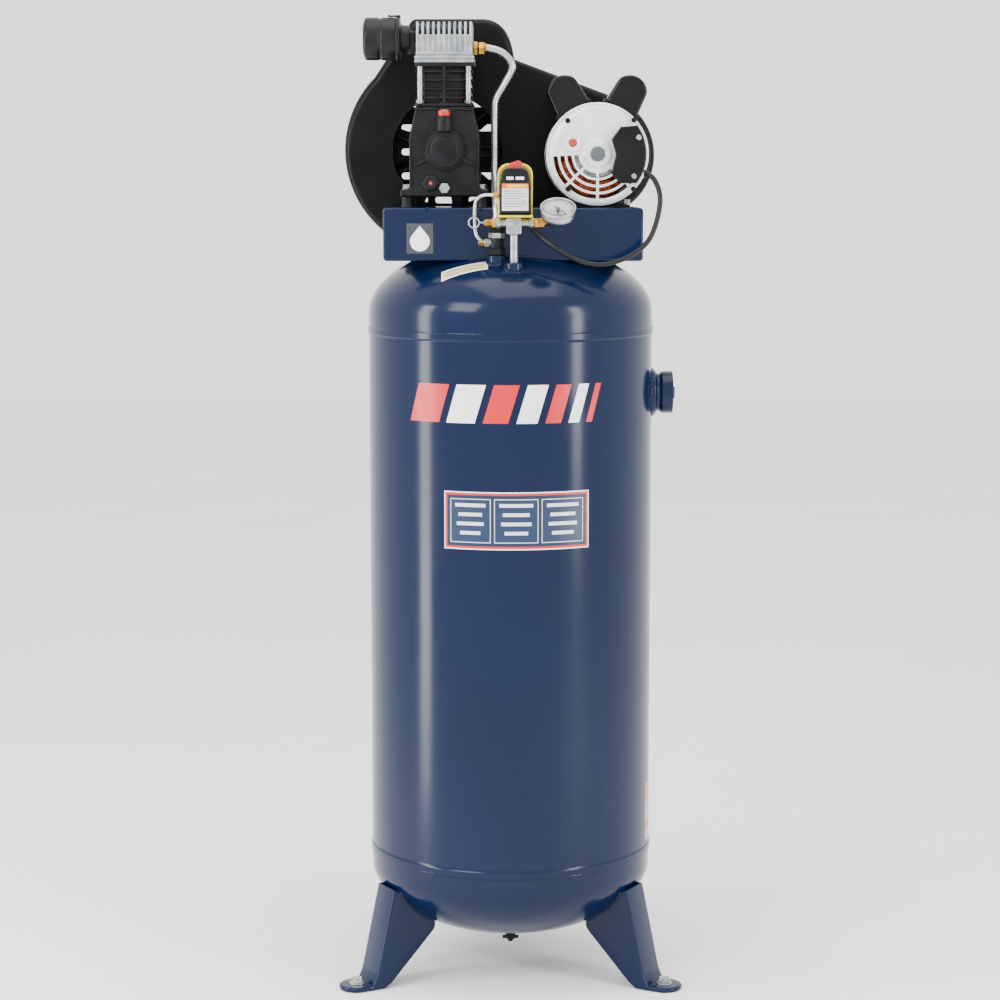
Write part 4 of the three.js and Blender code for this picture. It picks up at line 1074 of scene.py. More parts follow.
class COMPRESSOR_OT_crankcase(bpy.types.Operator):
    """The cast crankcase on its stand-offs, with its bearing cap, bearings, oil fittings and bolts."""

    bl_idname = "compressor.crankcase"
    bl_label = "Crankcase"
    bl_options = {"REGISTER", "UNDO"}

    def execute(self, context):
        edge = context.scene.compressor_sizes.casting_edge / MM
        cx, cz = CRANK_X, CRANK_Z
        bed = BED_HIGH.z
        base, top, shoulder, half = bed + 18, BLOCK_LOW.z + 8 - 0.3, 1513, 61.5
        outer = rounded(
            [
                (cx - half - 16, base, 3), (cx + half + 16, base, 3), (cx + half + 16, base + 12, 3),
                (cx + half, base + 15, 6), (cx + half, shoulder, 10), (cx + half - 12, top, 4),
                (cx - half + 12, top, 4), (cx - half, shoulder, 10), (cx - half, base + 15, 6),
                (cx - half - 16, base + 12, 3)
            ],
            3, 4,
        )
        body = plate("body", [outer], CASE_FRONT, CASE_REAR, "XZ", edge, 3)
        inner = [(cx - half + 7, base + 9), (cx + half - 7, base + 9), (cx + half - 7, shoulder - 2),
                 (cx + half - 18, top - 7), (cx - half + 18, top - 7), (cx - half + 7, shoulder - 2)]
        cuts = [plate("inner", [inner], CASE_FRONT + 16, CASE_REAR - 16, "XZ", 1)]
        cuts += [
            rod("cut", 26.3, CASE_FRONT - 12, CASE_FRONT + 17, (cx, 0, cz), "Y", 64, 0.01),
            rod("cut", 26.3, CASE_REAR - 17, CASE_REAR + 4, (cx, 0, cz), "Y", 64, 0.01),
            rod("cut", 13.4, CASE_REAR - 2, CASE_REAR + 14, (cx, 0, cz), "Y", 48, 0.01),
            rod("cut", 6.4, 1528, 1550, (cx, CASE_FRONT - 11, 0), "Z", 32, 0.01),
            rod("cut", 9.4, CASE_FRONT - 2, CASE_FRONT + 20, (cx - 24, 0, base + 24), "Y", 32, 0.01),
            rod("cut", 6.4, CASE_FRONT - 2, CASE_FRONT + 20, (cx, 0, base + 15), "Y", 32, 0.01),
        ]
        cuts += [rod("cut", 38.4, -34, 5, (cx, y, top - 2), "Z", 64, 0.01) for y in BORE_YS]
        front_boss = ring("boss", 20, 36, CASE_FRONT - 8, CASE_FRONT + 2, (cx, 0, cz), "Y", 64, 2)
        rear_boss = ring("boss", 13.4, 36, CASE_REAR - 2, CASE_REAR + 12, (cx, 0, cz), "Y", 64, 2)
        neck = rod("neck", 14, 1522, 1548, (cx, CASE_FRONT - 11, 0), "Z", 48, 1.5)
        neck_back = block("neck_back", cx - 14, cx + 14, CASE_FRONT - 11, CASE_FRONT + 3, 1518, 1548, 2, 2)
        carve(body, front_boss, rear_boss, neck, neck_back, operation="UNION")
        carve(body, *cuts)
        extras = []
        for turned in (-152, -28):  # two ribs run out from the cap towards the base
            a = math.radians(turned)
            rib = block("rib", 34, 58, CASE_FRONT - 5, CASE_FRONT + 1, -3.2, 3.2, 2.4, 2)
            spin = Matrix.Translation((cx, 0, cz)) @ Matrix.Rotation(-a, 4, "Y")
            extras.append(moved(rib, spin))
        for side in (-1, 1):  # a raised border down each edge of the front face
            x = cx + side * (half - 5)
            extras.append(
                block(
                    "border", min(x, x + side * 4), max(x, x + side * 4), CASE_FRONT - 2.5,
                    CASE_FRONT + 2, base + 18, shoulder - 4, 1.8, 2
                )
            )
        for x0, x1 in ((cx - half + 10, cx - 13), (cx + 13, cx + half - 10)):  # clear of the filler plug
            extras.append(block("deck", x0, x1, CASE_FRONT - 2.5, CASE_FRONT + 4, top - 7, top - 0.5, 2, 2))
        for side in (-1, 1):
            for y in (CASE_FRONT + 14, CASE_REAR - 14):
                foot = [(0, bed + 0.4), (10.5, bed + 0.4), (9, bed + 6), (9, base + 1), (0, base + 1)]
                extras.append(turn("stand_off", foot, (cx + side * (half + 4), y, 0), steps=32))
        fit(coat(unite("crankcase_casting", body, *extras), iron_paint), FRAME, "black_iron", "crankcase")

        face = CASE_FRONT - 14
        cap = rounded(
            [
                (0, face, 0), (22, face, 2), (24.5, face + 1.6, 2), (30.5, face + 1.4, 2),
                (32, face + 3, 2), (32, CASE_FRONT - 8.3, 0.6), (26, CASE_FRONT - 8.3, 0),
                (26, CASE_FRONT - 1, 0.6), (0, CASE_FRONT - 1, 0)
            ],
            1
        )
        fit(
            coat(turn("bearing_cap", cap, (cx, 0, cz), "Y", 72), iron_paint), FRAME, "black_iron",
            "front_bearing_cap"
        )

        feet = [
            ((cx + sx * (half + 4), y, base + 12), UPRIGHT)
            for sx in (-1, 1)
            for y in (CASE_FRONT + 14, CASE_REAR - 14)
        ]
        fit(at_spots("pump_foot_bolts", hex_bolt(13, 9.5), feet, zinc_plate), FRAME, "zinc_plate")

        sight = (cx - 24, 0, base + 24)
        nut = turn("nut", [(6.5, -7), (12.4, -7), (14.43, -5.6), (14.43, -0.3), (6.5, -0.3), (6.5, -7)],
                   (sight[0], CASE_FRONT, sight[2]), "Y", 6, 20)
        stem = rod("stem", 9, -0.6, 12, (sight[0], CASE_FRONT, sight[2]), "Y", 32)
        glass = unite("oil_sight", coat(nut, moulded_black), coat(stem, moulded_black))
        eye = coat(
            rod("eye", 6.6, -5.4, -3, (sight[0], CASE_FRONT, sight[2]), "Y", 32, 1.6), ink, "#3A1414"
        )
        dot = coat(
            rod("dot", 2.4, -5.9, -5, (sight[0], CASE_FRONT, sight[2]), "Y", 24, 0.3), ink, "#E0322A"
        )
        fit(unite("oil_sight_window", glass, eye, dot), FRAME, "black_plastic", "oil_sight_glass")
        drain = hexagon("head", 17, -7, -0.3, (cx, CASE_FRONT, base + 15), "Y")
        shank = rod("shank", 6, -0.5, 12, (cx, CASE_FRONT, base + 15), "Y", 32)
        dish = rod("dish", 5, -7.8, -6, (cx, CASE_FRONT, base + 15), "Y", 32, 0.8)
        fit(
            coat(unite("oil_drain_bolt", drain, shank, dish), zinc_plate), FRAME, "zinc_plate",
            "oil_drain_plug"
        )

        at = (cx, CASE_FRONT - 11, 1548)
        cap_line = [
            (0, -15.8), (6, -15.8), (6, 0.3), (9.6, 0.3), (10, 1.2), (10, 8.5), (8.6, 10.6), (0, 11)
        ]
        plug = coat(turn("plug", cap_line, at, steps=40), red_plastic)
        grips = []
        for k in range(12):
            a = math.tau * k / 12
            grips.append(
                rod(
                    "grip", 0.8, 1.4, 8, (at[0] + 9.5 * math.cos(a), at[1] + 9.5 * math.sin(a), at[2]),
                    "Z", 8, 0.2
                )
            )
        band = coat(rod("mark", 6.2, 10.6, 11, at, "Z", 32, 0.1), ink, "#F2F2F0")
        grips = coat(unite("grips", *grips), red_plastic)
        fit(unite("oil_filler_plug", plug, grips, band), "oil_plug", "red_plastic", "oil_fill_plug")
        for node in ("front_bearing", "rear_bearing", "crankshaft", "flywheel_pin_1", "flywheel_pin_2"):
            keep_node(node, ground_steel)
        for node in (
            "piston_1", "piston_2", "connecting_rod_1", "connecting_rod_2", "rod_bearing_1",
            "rod_bearing_2"
        ):
            keep_node(node, cast_aluminium)
        return {"FINISHED"}


def bored_outline(half_x, y0, y1, corner, notch=0.0):
    """A rounded oblong in plan round both bores, with an optional round notch for each head stud."""
    cx = CRANK_X
    points = rounded(
        [(cx - half_x, y0), (cx + half_x, y0), (cx + half_x, y1), (cx - half_x, y1)], corner, 4
    )
    if notch:
        stud = 42
        points = []
        for y, sign in ((y0, 1), (y1, -1)):
            row = []
            for side in (-1, 1):
                start = 180 if sign > 0 else 0
                row += arc(cx + sign * side * stud, y, notch, start, start - 180, 10)
            near, far = cx - sign * half_x, cx + sign * half_x
            points += [
                (near, y + sign * corner), (near + sign * 2, y)
            ] + row + [(far - sign * 2, y), (far, y + sign * corner)]
    return [points] + [circle(cx, y, BORE_R, 48)[::-1] for y in BORE_YS]


class COMPRESSOR_OT_cylinders(bpy.types.Operator):
    """The finned cylinder block, the valve plate, the finned head and the long studs that hold them."""

    bl_idname = "compressor.cylinders"
    bl_label = "Cylinders and head"
    bl_options = {"REGISTER", "UNDO"}

    def execute(self, context):
        sizes = context.scene.compressor_sizes
        cx = CRANK_X
        front, rear = BLOCK_LOW.y, BLOCK_HIGH.y
        z0, z1 = BLOCK_LOW.z + 8, BLOCK_HIGH.z
        core = plate("core", bored_outline(40, front + 9, rear - 9, 12), z0, z1, "XY", 0.5)
        fins = []
        pitch = (z1 - z0) / sizes.block_fins
        for k in range(1, sizes.block_fins):
            z = z0 + k * pitch
            fins.append(
                plate("fin", bored_outline(50, front, rear, 6, 7.5), z - 1.5, z + 1.9, "XY", 1.2, 2)
            )
        for low, high in ((z0, z0 + 5.5), (z1 - 6.5, z1)):
            fins.append(plate("flange", bored_outline(51, front, rear, 8), low, high, "XY", 1.6, 2))
        ribs = [block("rib", cx - 2.6, cx + 2.6, y0, y1, z0 + 2, z1 - 2, 1.6, 2)
                for y0, y1 in ((front + 0.8, front + 14), (rear - 14, rear - 0.8))]
        skirts = [
            ring("skirt", BORE_R, 38, z0 - 8, z0 + 1, (cx, y, 0), steps=48, edge=0.3) for y in BORE_YS
        ]
        casting = coat(unite("cylinder_block_casting", core, *fins, *ribs, *skirts), iron_paint)
        fit(casting, FRAME, "black_iron", "cylinder_block")

        low, high = PLATE_LOW, PLATE_HIGH
        slab_line = rounded([(low.x, low.y), (high.x, low.y), (high.x, high.y), (low.x, high.y)], 7, 4)
        lower = plate("lower", [slab_line], low.z, low.z + 5.6, "XY", 1.2, 2)
        upper = plate("upper", [slab_line], low.z + 6.2, high.z, "XY", 1.2, 2)
        inset = rounded(
            [
                (low.x + 2, low.y + 2), (high.x - 2, low.y + 2), (high.x - 2, high.y - 2),
                (low.x + 2, high.y - 2)
            ],
            6, 3
        )
        gasket = coat(plate("gasket", [inset], low.z + 5.4, low.z + 6.4, "XY", 0.1), moulded_black)
        pack = unite("valve_plate_stack", coat(lower, cast_aluminium), coat(upper, cast_aluminium), gasket)
        fit(pack, FRAME, "cast_aluminium", "valve_plate")

        low, high = HEAD_LOW, HEAD_HIGH
        fin_rise = high.z - low.z - 7
        body = block("body", low.x, high.x, low.y + 3, high.y - 3, low.z, high.z - 22, 2, 2)
        pitch = (high.x - low.x) / sizes.head_fins
        width = pitch * 0.56
        fin_line = rounded(
            [
                (low.y + 0.5, 0, 0), (high.y - 0.5, 0, 0), (high.y - 2.5, fin_rise, 4),
                (low.y + 2.5, fin_rise, 4)
            ],
            3
        )
        unit = plate("fin", [fin_line], -width / 2, width / 2, "YZ", width * 0.42, 2)
        first = low.x + width / 2 + 0.3
        step = (high.x - low.x - width - 0.6) / (sizes.head_fins - 1)
        spots = [((first + k * step, 0, high.z - fin_rise), UPRIGHT) for k in range(sizes.head_fins)]
        comb = at_spots("fins", unit, spots, cast_aluminium)
        boss = rod("boss", 13, low.x - 2.5, low.x + 8, (0, -64, 1667), "X", 40, 1.5)
        outlet = rod("outlet", 13, high.x - 8, high.x + 0.2, (0, -64, 1667), "X", 40, 1)
        step_line = block(
            "lip", low.x - 0.5, high.x + 0.5, low.y - 0.5, high.y + 0.5, low.z, low.z + 7, 2.5, 2
        )
        casting = unite(
            "cylinder_head_casting", *(coat(p, cast_aluminium) for p in (body, boss, outlet, step_line)),
            comb
        )
        fit(casting, FRAME, "cast_aluminium", "cylinder_head")

        studs = []
        for x in (cx - 42, cx + 42):
            for y in (front + 1.5, rear - 1.5):
                studs.append(rod("stud", 4.6, z0 + 5, z1 - 6, (x, y, 0), "Z", 24, 0.5))
                studs.append(hexagon("nut", 12, z0 + 5.5, z0 + 11, (x, y, 0)))
        fit(coat(unite("head_studs", *studs), zinc_plate), FRAME, "zinc_plate")
        return {"FINISHED"}


# ---------- belt drive ----------
BELT_Y = 126
WHEEL_PITCH = 156
PULLEY_PITCH = 42
BELT_HALF = 4.5
GROOVE_ROOM = 1


def belt_line(grow):
    """The belt's loop in x and z, grown outwards from its pitch line."""
    big, small = WHEEL_PITCH + grow, PULLEY_PITCH + grow
    dx, dz = MOTOR_X - CRANK_X, MOTOR_Z - CRANK_Z
    lean = math.degrees(math.atan2(dz, dx))
    wrap = math.degrees(math.acos((big - small) / math.hypot(dx, dz)))
    loop = arc(CRANK_X, CRANK_Z, big, lean + wrap, lean - wrap + 360, 120)
    return loop + arc(MOTOR_X, MOTOR_Z, small, lean - wrap, lean + wrap, 48)


class COMPRESSOR_OT_belt_drive(bpy.types.Operator):
    """The bladed flywheel, the belt and the motor's pulley."""

    bl_idname = "compressor.belt_drive"
    bl_label = "Belt drive"
    bl_options = {"REGISTER", "UNDO"}

    def execute(self, context):
        count = context.scene.compressor_sizes.blades
        centre = (CRANK_X, 0, CRANK_Z)
        y0, y1 = BELT_Y - 6.5, BELT_Y + 6.5
        groove = WHEEL_PITCH - BELT_HALF - GROOVE_ROOM
        rim = rounded(
            [
                (groove - 12, y0 - 5), (groove + 9, y0 - 5), (groove + 9, y0 - 2.4), (groove, y0 - 0.3),
                (groove, y1 + 0.3), (groove + 9, y1 + 2.4), (groove + 9, y1 + 5), (groove - 12, y1 + 5)
            ],
            1.2,
        )
        rim = turn("rim", rim + [rim[0]], centre, "Y", 128)
        hub_line = rounded(
            [
                (12.8, BELT_Y - 24), (28, BELT_Y - 24), (30, BELT_Y - 8), (30, BELT_Y + 8),
                (8.8, BELT_Y + 8), (8.8, BELT_Y - 1.5), (12.8, BELT_Y - 1.5)
            ],
            1
        )
        hub = turn("hub", hub_line + [hub_line[0]], centre, "Y", 64)
        holes = [
            rod("hole", 3.4, BELT_Y - 40, BELT_Y + 30, (CRANK_X, 0, CRANK_Z + z), "Y", 20, 0.01)
            for z in (12.7, -12.7)
        ]
        carve(hub, *holes)
        span = groove - 12 - 26
        blade = block("blade", 27, 27 + span, -13, 13, -2.5, 2.5, 1.8, 2)
        moved(blade, Matrix.Rotation(math.radians(-38), 4, "X"))
        blades = round_axis("blades", blade, count, (CRANK_X, BELT_Y, CRANK_Z), iron_paint)
        wheel = unite("flywheel_casting", coat(rim, iron_paint), coat(hub, iron_paint), blades)
        fit(wheel, "crank", "black_iron", "flywheel")

        band = plate("v_belt", [belt_line(BELT_HALF), belt_line(-BELT_HALF)[::-1]], y0, y1, "XZ", 1.2)
        fit(coat(band, belt_rubber), FRAME, "belt_rubber", "drive_belt")

        bottom = PULLEY_PITCH - BELT_HALF - GROOVE_ROOM
        line = rounded(
            [
                (8.4, y0 - 6), (bottom + 9, y0 - 6), (bottom + 9, y0 - 2.4), (bottom, y0 - 0.3),
                (bottom, y1 + 0.3), (bottom + 9, y1 + 2.4), (bottom + 9, y1 + 6), (8.4, y1 + 6)
            ],
            1,
        )
        pulley = turn("pulley", line + [line[0]], (MOTOR_X, 0, MOTOR_Z), "Y", 72)
        fit(coat(pulley, iron_paint), "rotor", "black_iron", "motor_pulley")
        return {"FINISHED"}


GUARD_WALL = 3
LOBE = 187
MOTOR_LOBE = 112


def guard_line(inset):
    """The guard's side outline, drawn in from its outside."""
    big, small = LOBE - inset, MOTOR_LOBE - inset
    top, foot = GUARD_HIGH.z - inset, GUARD_LOW.z + inset
    foot_angle = math.degrees(math.asin((CRANK_Z - foot) / big))
    drop = math.degrees(math.asin(min(1, (MOTOR_Z - foot) / small)))
    line = [(CRANK_X - big * math.cos(math.radians(foot_angle)), foot)]
    line += arc(CRANK_X, CRANK_Z, big, 180 + foot_angle, 135, 48)[1:]
    line += rounded_run((CRANK_X - 60 + inset * 0.4, top), (CRANK_X + 66, top))
    start, bend, end = (CRANK_X + 66, top), (CRANK_X + 114 - inset, top - 2), (
        CRANK_X + 122 - inset, top - 72
    )
    for k in range(1, 13):
        t = k / 12
        line.append(
            tuple(start[i] * (1 - t) ** 2 + 2 * bend[i] * t * (1 - t) + end[i] * t * t for i in (0, 1))
        )
    line += arc(MOTOR_X, MOTOR_Z, small, 70, -drop, 32)
    if drop < 89:
        line.append((MOTOR_X + small * math.cos(math.radians(drop)), foot))
    line.append((MOTOR_X - small * math.cos(math.radians(drop)), foot))
    return line


def rounded_run(start, end):
    """The guard's flat top, with a small round where the lobe runs into it."""
    return [(start[0] - 5, start[1] - 4), (start[0], start[1] - 0.6), (start[0] + 6, start[1]), end]


class COMPRESSOR_OT_belt_guard(bpy.types.Operator):
    """The two moulded halves of the belt guard, with the air window, duct mouth and rear vents."""

    bl_idname = "compressor.belt_guard"
    bl_label = "Belt guard"
    bl_options = {"REGISTER", "UNDO"}

    def execute(self, context):
        front, rear = GUARD_LOW.y, GUARD_HIGH.y
        split = (front + rear) / 2
        window = [rod("cut", 100, front - 6, front + 12, (CRANK_X, 0, CRANK_Z), "Y", 96, 0.01)]
        mouth = rounded(
            [
                (CRANK_X - 46, CRANK_Z + 128), (CRANK_X + 46, CRANK_Z + 128),
                (CRANK_X + 46, GUARD_HIGH.z - 18), (CRANK_X - 46, GUARD_HIGH.z - 18)
            ],
            8
        )
        window.append(plate("cut", [mouth], front - 6, front + 12, "XZ", 0.01))
        window.append(rod("cut", 30, front - 6, front + 12, (MOTOR_X, 0, MOTOR_Z), "Y", 64, 0.01))
        vents = []
        for row in range(5):
            for column in (-1, 0, 1):
                x, z = CRANK_X + column * 62, CRANK_Z - 89 + row * 44
                slot = rounded([(x - 24, z - 6), (x + 24, z - 6), (x + 24, z + 6), (x - 24, z + 6)], 6, 4)
                vents.append(plate("vent", [slot], rear - 10, rear + 6, "XZ", 0.01))
        halves = (("front", window, split - 0.3, rear + 20), ("rear", vents, front - 20, split + 0.3))
        for name, cuts, low, high in halves:
            shell = plate("shell", [guard_line(0)], front, rear, "XZ", 13, 5)
            inner = plate(
                "inner", [guard_line(GUARD_WALL)], front + GUARD_WALL, rear - GUARD_WALL, "XZ", 10, 4
            )
            other = block("other", -400, 400, low, high, GUARD_LOW.z - 50, GUARD_HIGH.z + 50, 0.01)
            carve(shell, inner, other, *cuts)
            coat(shell, guard_plastic)
            fit(unite(f"belt_guard_{name}_half", shell), FRAME, "guard_plastic", f"belt_guard_{name}")
        return {"FINISHED"}


# ---------- motor ----------
def bell_profile(face, out, bore):
    """Half section of an end bell; out is -1 at the front and 1 at the rear."""
    rim = MOTOR_R + 1
    dish = rounded(
        [
            (bore, 0, 0.5), (22, 0, 2), (25, -3.5, 2), (MOTOR_R - 12, -6, 8), (MOTOR_R - 1.5, -12, 5),
            (rim, -26, 0.8), (MOTOR_R - 3, -26, 0.4), (MOTOR_R - 6, -15, 3), (26, -9, 2), (22, -18, 1),
            (bore, -18, 0.5)
        ],
        1, 4,
    )
    return [(r, face + out * depth) for r, depth in dish + [dish[0]]]


class COMPRESSOR_OT_motor(bpy.types.Operator):
    """The motor: rolled shell, windings, rotor, vented end bells, reset button, terminal cover and base."""

    bl_idname = "compressor.motor"
    bl_label = "Motor"
    bl_options = {"REGISTER", "UNDO"}

    def execute(self, context):
        at = (MOTOR_X, 0, MOTOR_Z)
        front, rear = SHELL_LOW.y, SHELL_HIGH.y
        can = ring("motor_can", MOTOR_R - 2.5, MOTOR_R, front, rear, at, "Y", 128, 0.8)
        fit(coat(can, gloss_enamel), FRAME, "black_enamel", "motor_shell")

        inner = MOTOR_R - 2.8
        iron = coat(ring("iron", 41, inner, front + 30, rear - 26, at, "Y", 96, 0.5), ground_steel)
        coils = []
        for y0, y1 in ((front + 6, front + 31), (rear - 27, rear - 5)):
            for layer in range(3):
                radius = 51 + layer * 9
                wave = [
                    (
                        MOTOR_X + (radius + 1.5 * math.sin(9 * a)) * math.cos(a),
                        (y0 + y1) / 2 + 3 * math.sin(12 * a + layer),
                        MOTOR_Z + (radius + 1.5 * math.sin(9 * a)) * math.sin(a)
                    )
                    for a in (math.tau * k / 144 for k in range(144))
                ]
                coils.append(coat(sweep("coil", wave, 6.5, True), copper_wire))
        fit(unite("stator_windings", iron, *coils), FRAME, "winding_copper", "motor_stator")
        keep_node("motor_rotor", ground_steel)

        bell = turn("bell", bell_profile(BELL_FRONT, -1, 8.6), at, "Y", 128)
        slots = []
        for row in range(4):
            r = 33 + row * 12
            rib = math.degrees(2.2 / (r + 4))
            for a0, a1 in (
                (183, 225 - rib), (225 + rib, 270 - rib), (270 + rib, 315 - rib), (315 + rib, 330)
            ):
                if row == 0 and a1 == 330:
                    continue
                line = arc(MOTOR_X, MOTOR_Z, r + 8, a0, a1, 14) + arc(MOTOR_X, MOTOR_Z, r, a1, a0, 14)
                slots.append(plate("slot", [line], BELL_FRONT - 6, BELL_FRONT + 20, "XZ", 0.01))
        reset = (MOTOR_X - 43, 0, MOTOR_Z + 19)
        boss = ring("boss", 6.8, 15, BELL_FRONT - 1.5, BELL_FRONT + 9, reset, "Y", 48, 1.2)
        carve(
            bell, unite("slots", *slots),
            rod("hole", 6.8, BELL_FRONT - 6, BELL_FRONT + 20, reset, "Y", 32, 0.01)
        )
        lip = [
            (MOTOR_R - 3, BELL_FRONT + 10), (MOTOR_R + 0.6, BELL_FRONT + 14),
            (MOTOR_R + 0.9, BELL_FRONT + 25.5), (MOTOR_R - 2.6, BELL_FRONT + 25.5),
            (MOTOR_R - 3, BELL_FRONT + 10)
        ]
        rim = turn("rim", lip, at, "Y", 128)
        cap = coat(rod("cap", 13, BELL_FRONT - 3.2, BELL_FRONT + 3, at, "Y", 48, 2), ink, "#4C4F52")
        white = [coat(p, bell_paint) for p in (bell, boss, rim)]
        fit(unite("end_bell_front", *white, cap), FRAME, "white_enamel", "motor_front_bell")
        tail = turn("end_bell_rear", bell_profile(BELL_REAR, 1, 8.6), at, "Y", 128)
        fit(coat(tail, bell_paint), FRAME, "white_enamel", "motor_rear_bell")

        screws = [((MOTOR_X + x, BELL_FRONT + 3, MOTOR_Z + z), TO_FRONT)
                  for x, z in ((-52, 57), (62, 58), (-51, -60), (62, -60))]
        fit(at_spots("bell_screws", cross_screw(4.8), screws, iron_paint), FRAME, "zinc_plate")

        button = [(0, BELL_FRONT - 4), (4.6, BELL_FRONT - 4), (6, BELL_FRONT - 2.6), (6, BELL_FRONT + 14.8),
                  (8.5, BELL_FRONT + 15), (8.5, BELL_FRONT + 17), (0, BELL_FRONT + 17)]
        fit(
            coat(turn("reset_plunger", button, reset, "Y", 40), red_plastic), "reset", "red_plastic",
            "reset_button"
        )

        line = arc(MOTOR_X, MOTOR_Z, MOTOR_R - 5, -37, 36, 20)
        line += rounded(
            [(MOTOR_X + x, MOTOR_Z + z) for x, z in ((41, 49), (23, 25), (31, 0), (23, -33), (38, -50))],
            3
        )[:-4]
        line += [(MOTOR_X + 38, MOTOR_Z - 50)]
        cover = coat(plate("cover", [line], BELL_FRONT - 14, BELL_FRONT - 0.3, "XZ", 2.6, 3), gloss_enamel)
        fit(unite("terminal_box_cover", cover), FRAME, "black_plastic", "terminal_cover")
        spots = [
            ((MOTOR_X + x, BELL_FRONT - 13.9, MOTOR_Z + z), TO_FRONT) for x, z in ((70, 28), (62, -38))
        ]
        fit(at_spots("terminal_screws", cross_screw(4.6), spots, zinc_plate), FRAME, "zinc_plate")

        bed = BED_HIGH.z
        saddle = block("saddle", MOTOR_X - 58, MOTOR_X + 58, -110, 44, bed + 0.3, bed + 5, 1.6, 2)
        room = rod("room", MOTOR_R + 1.3, -170, 110, at, "Y", 128, 0.01)
        cradles = [
            block("cradle", MOTOR_X - 46, MOTOR_X + 46, y, y + 12, bed + 4, MOTOR_Z - 40, 1.6, 2)
            for y in (-104, 24)
        ]
        cradles = [
            carve(cradles[0], room),
            carve(cradles[1], rod("room", MOTOR_R + 1.3, -170, 110, at, "Y", 128, 0.01))
        ]
        fit(
            coat(unite("motor_saddle", saddle, *cradles), gloss_enamel), FRAME, "black_enamel",
            "motor_base"
        )
        spots = [((MOTOR_X + x, y, bed + 4.8), UPRIGHT) for x in (-52, 52) for y in (-88, 34)]
        fit(at_spots("motor_foot_bolts", hex_bolt(12, 8.5), spots, zinc_plate), FRAME, "zinc_plate")
        return {"FINISHED"}


class COMPRESSOR_OT_capacitors(bpy.types.Operator):
    """The two pressed covers over the start and run capacitors on the motor's shoulders."""

    bl_idname = "compressor.capacitors"
    bl_label = "Capacitor covers"
    bl_options = {"REGISTER", "UNDO"}

    def execute(self, context):
        at = (MOTOR_X, 0, MOTOR_Z)
        top = MOTOR_R + 62
        for name, lean in (("start", -28), ("run", 28)):
            side = rounded(
                [
                    (-31, MOTOR_R - 8, 0), (31, MOTOR_R - 8, 0), (27, top - 12, 16), (9, top, 13),
                    (-9, top, 13), (-27, top - 12, 16)
                ],
                10, 6
            )
            cover = plate("cover", [side], -118, 22, "XZ", 5, 3)
            foot = rounded(
                [
                    (-34, MOTOR_R - 6, 0), (34, MOTOR_R - 6, 0), (33.5, MOTOR_R + 3, 1),
                    (-33.5, MOTOR_R + 3, 1)
                ],
                1
            )
            flange = plate("flange", [foot], -119, 23, "XZ", 1, 2)
            spin = Matrix.Translation(at) @ Matrix.Rotation(math.radians(lean), 4, "Y")
            parts = []
            for piece in (cover, flange):
                moved(piece, spin)
                room = rod("room", MOTOR_R + 1.3, -170, 110, at, "Y", 128, 0.01)
                parts.append(coat(carve(piece, room), gloss_enamel))
            fit(unite(f"{name}_capacitor_can", *parts), FRAME, "black_enamel", f"{name}_capacitor_cover")
        return {"FINISHED"}


# ---------- intake and discharge ----------
class COMPRESSOR_OT_intake(bpy.types.Operator):
    """The intake filter: ribbed canister, pleated element, and the elbow that leads into the head."""

    bl_idname = "compressor.intake"
    bl_label = "Intake filter"
    bl_options = {"REGISTER", "UNDO"}

    def execute(self, context):
        left, seam = FILTER_LOW.x, FILTER_HIGH.x + 0.3
        radius = 37
        at = (0, -64, 1683)
        lid = rounded(
            [
                (0, left, 0), (radius - 8, left, 1), (radius - 6, left + 2, 1),
                (radius - 2.5, left + 2, 2), (radius, left + 5, 2), (radius, left + 26, 1),
                (radius - 1.4, left + 28, 1), (radius - 1.4, left + 31, 1), (radius, left + 33, 1),
                (radius, seam - 8, 1), (radius - 1, seam - 0.3, 0.5), (radius - 3, seam - 0.3, 0.5),
                (radius - 3, left + 3.6, 0.4), (0, left + 3, 0)
            ],
            1,
        )
        canister = turn("canister", lid, at, "X", 96)
        fit(coat(canister, moulded_black), "filter_cover", "black_plastic", "air_filter_cover")

        pleats = []
        for k in range(96):
            a = math.tau * k / 96
            r = radius - 6.4 if k % 2 else radius - 13
            pleats.append((at[1] + r * math.cos(a), at[2] + r * math.sin(a)))
        element = plate(
            "pleated_element", [pleats, circle(at[1], at[2], 16, 48)[::-1]], left + 8, seam - 2, "YZ", 0.3
        )
        fit(coat(element, filter_paper), "filter_element", "filter_paper", "air_filter_element")

        wall = HEAD_LOW.x
        base = rounded(
            [
                (12, seam, 0.4), (radius - 0.5, seam, 0.6), (radius + 1, seam + 1.5, 1),
                (radius + 1, seam + 7, 2), (26, seam + 9, 3), (24, seam + 12, 3), (23, wall - 12, 2),
                (10, wall - 12, 1)
            ],
            1,
        )
        disc = turn("disc", base + [base[0]], at, "X", 96)
        drop = block("drop", wall - 18, wall - 0.3, -78, -50, 1655, 1696, 5, 3)
        collar = rod("collar", 15, wall - 4, wall - 0.4, (0, -64, 1667), "X", 40, 1)
        clip = block("clip", seam - 14, seam + 3, -72, -56, 1683 + radius + 0.8, 1683 + radius + 3.4, 1, 2)
        hook = block("hook", seam + 1, seam + 8, -72, -56, 1683 + radius - 3, 1683 + radius + 4, 1.4, 2)
        bead = rod("bead", 1.8, -72, -56, (seam - 12, 0, 1683 + radius + 2.6), "Y", 20, 0.5)
        black = coat(unite("filter_base_moulding", disc, drop, collar, clip, hook, bead), moulded_black)
        nut = coat(hexagon("nut", 22, wall - 26, wall - 17, (0, -64, 1683), "X"), brass)
        fit(unite("filter_base_moulding", black, nut), FRAME, "black_plastic", "air_filter_base")
        return {"FINISHED"}


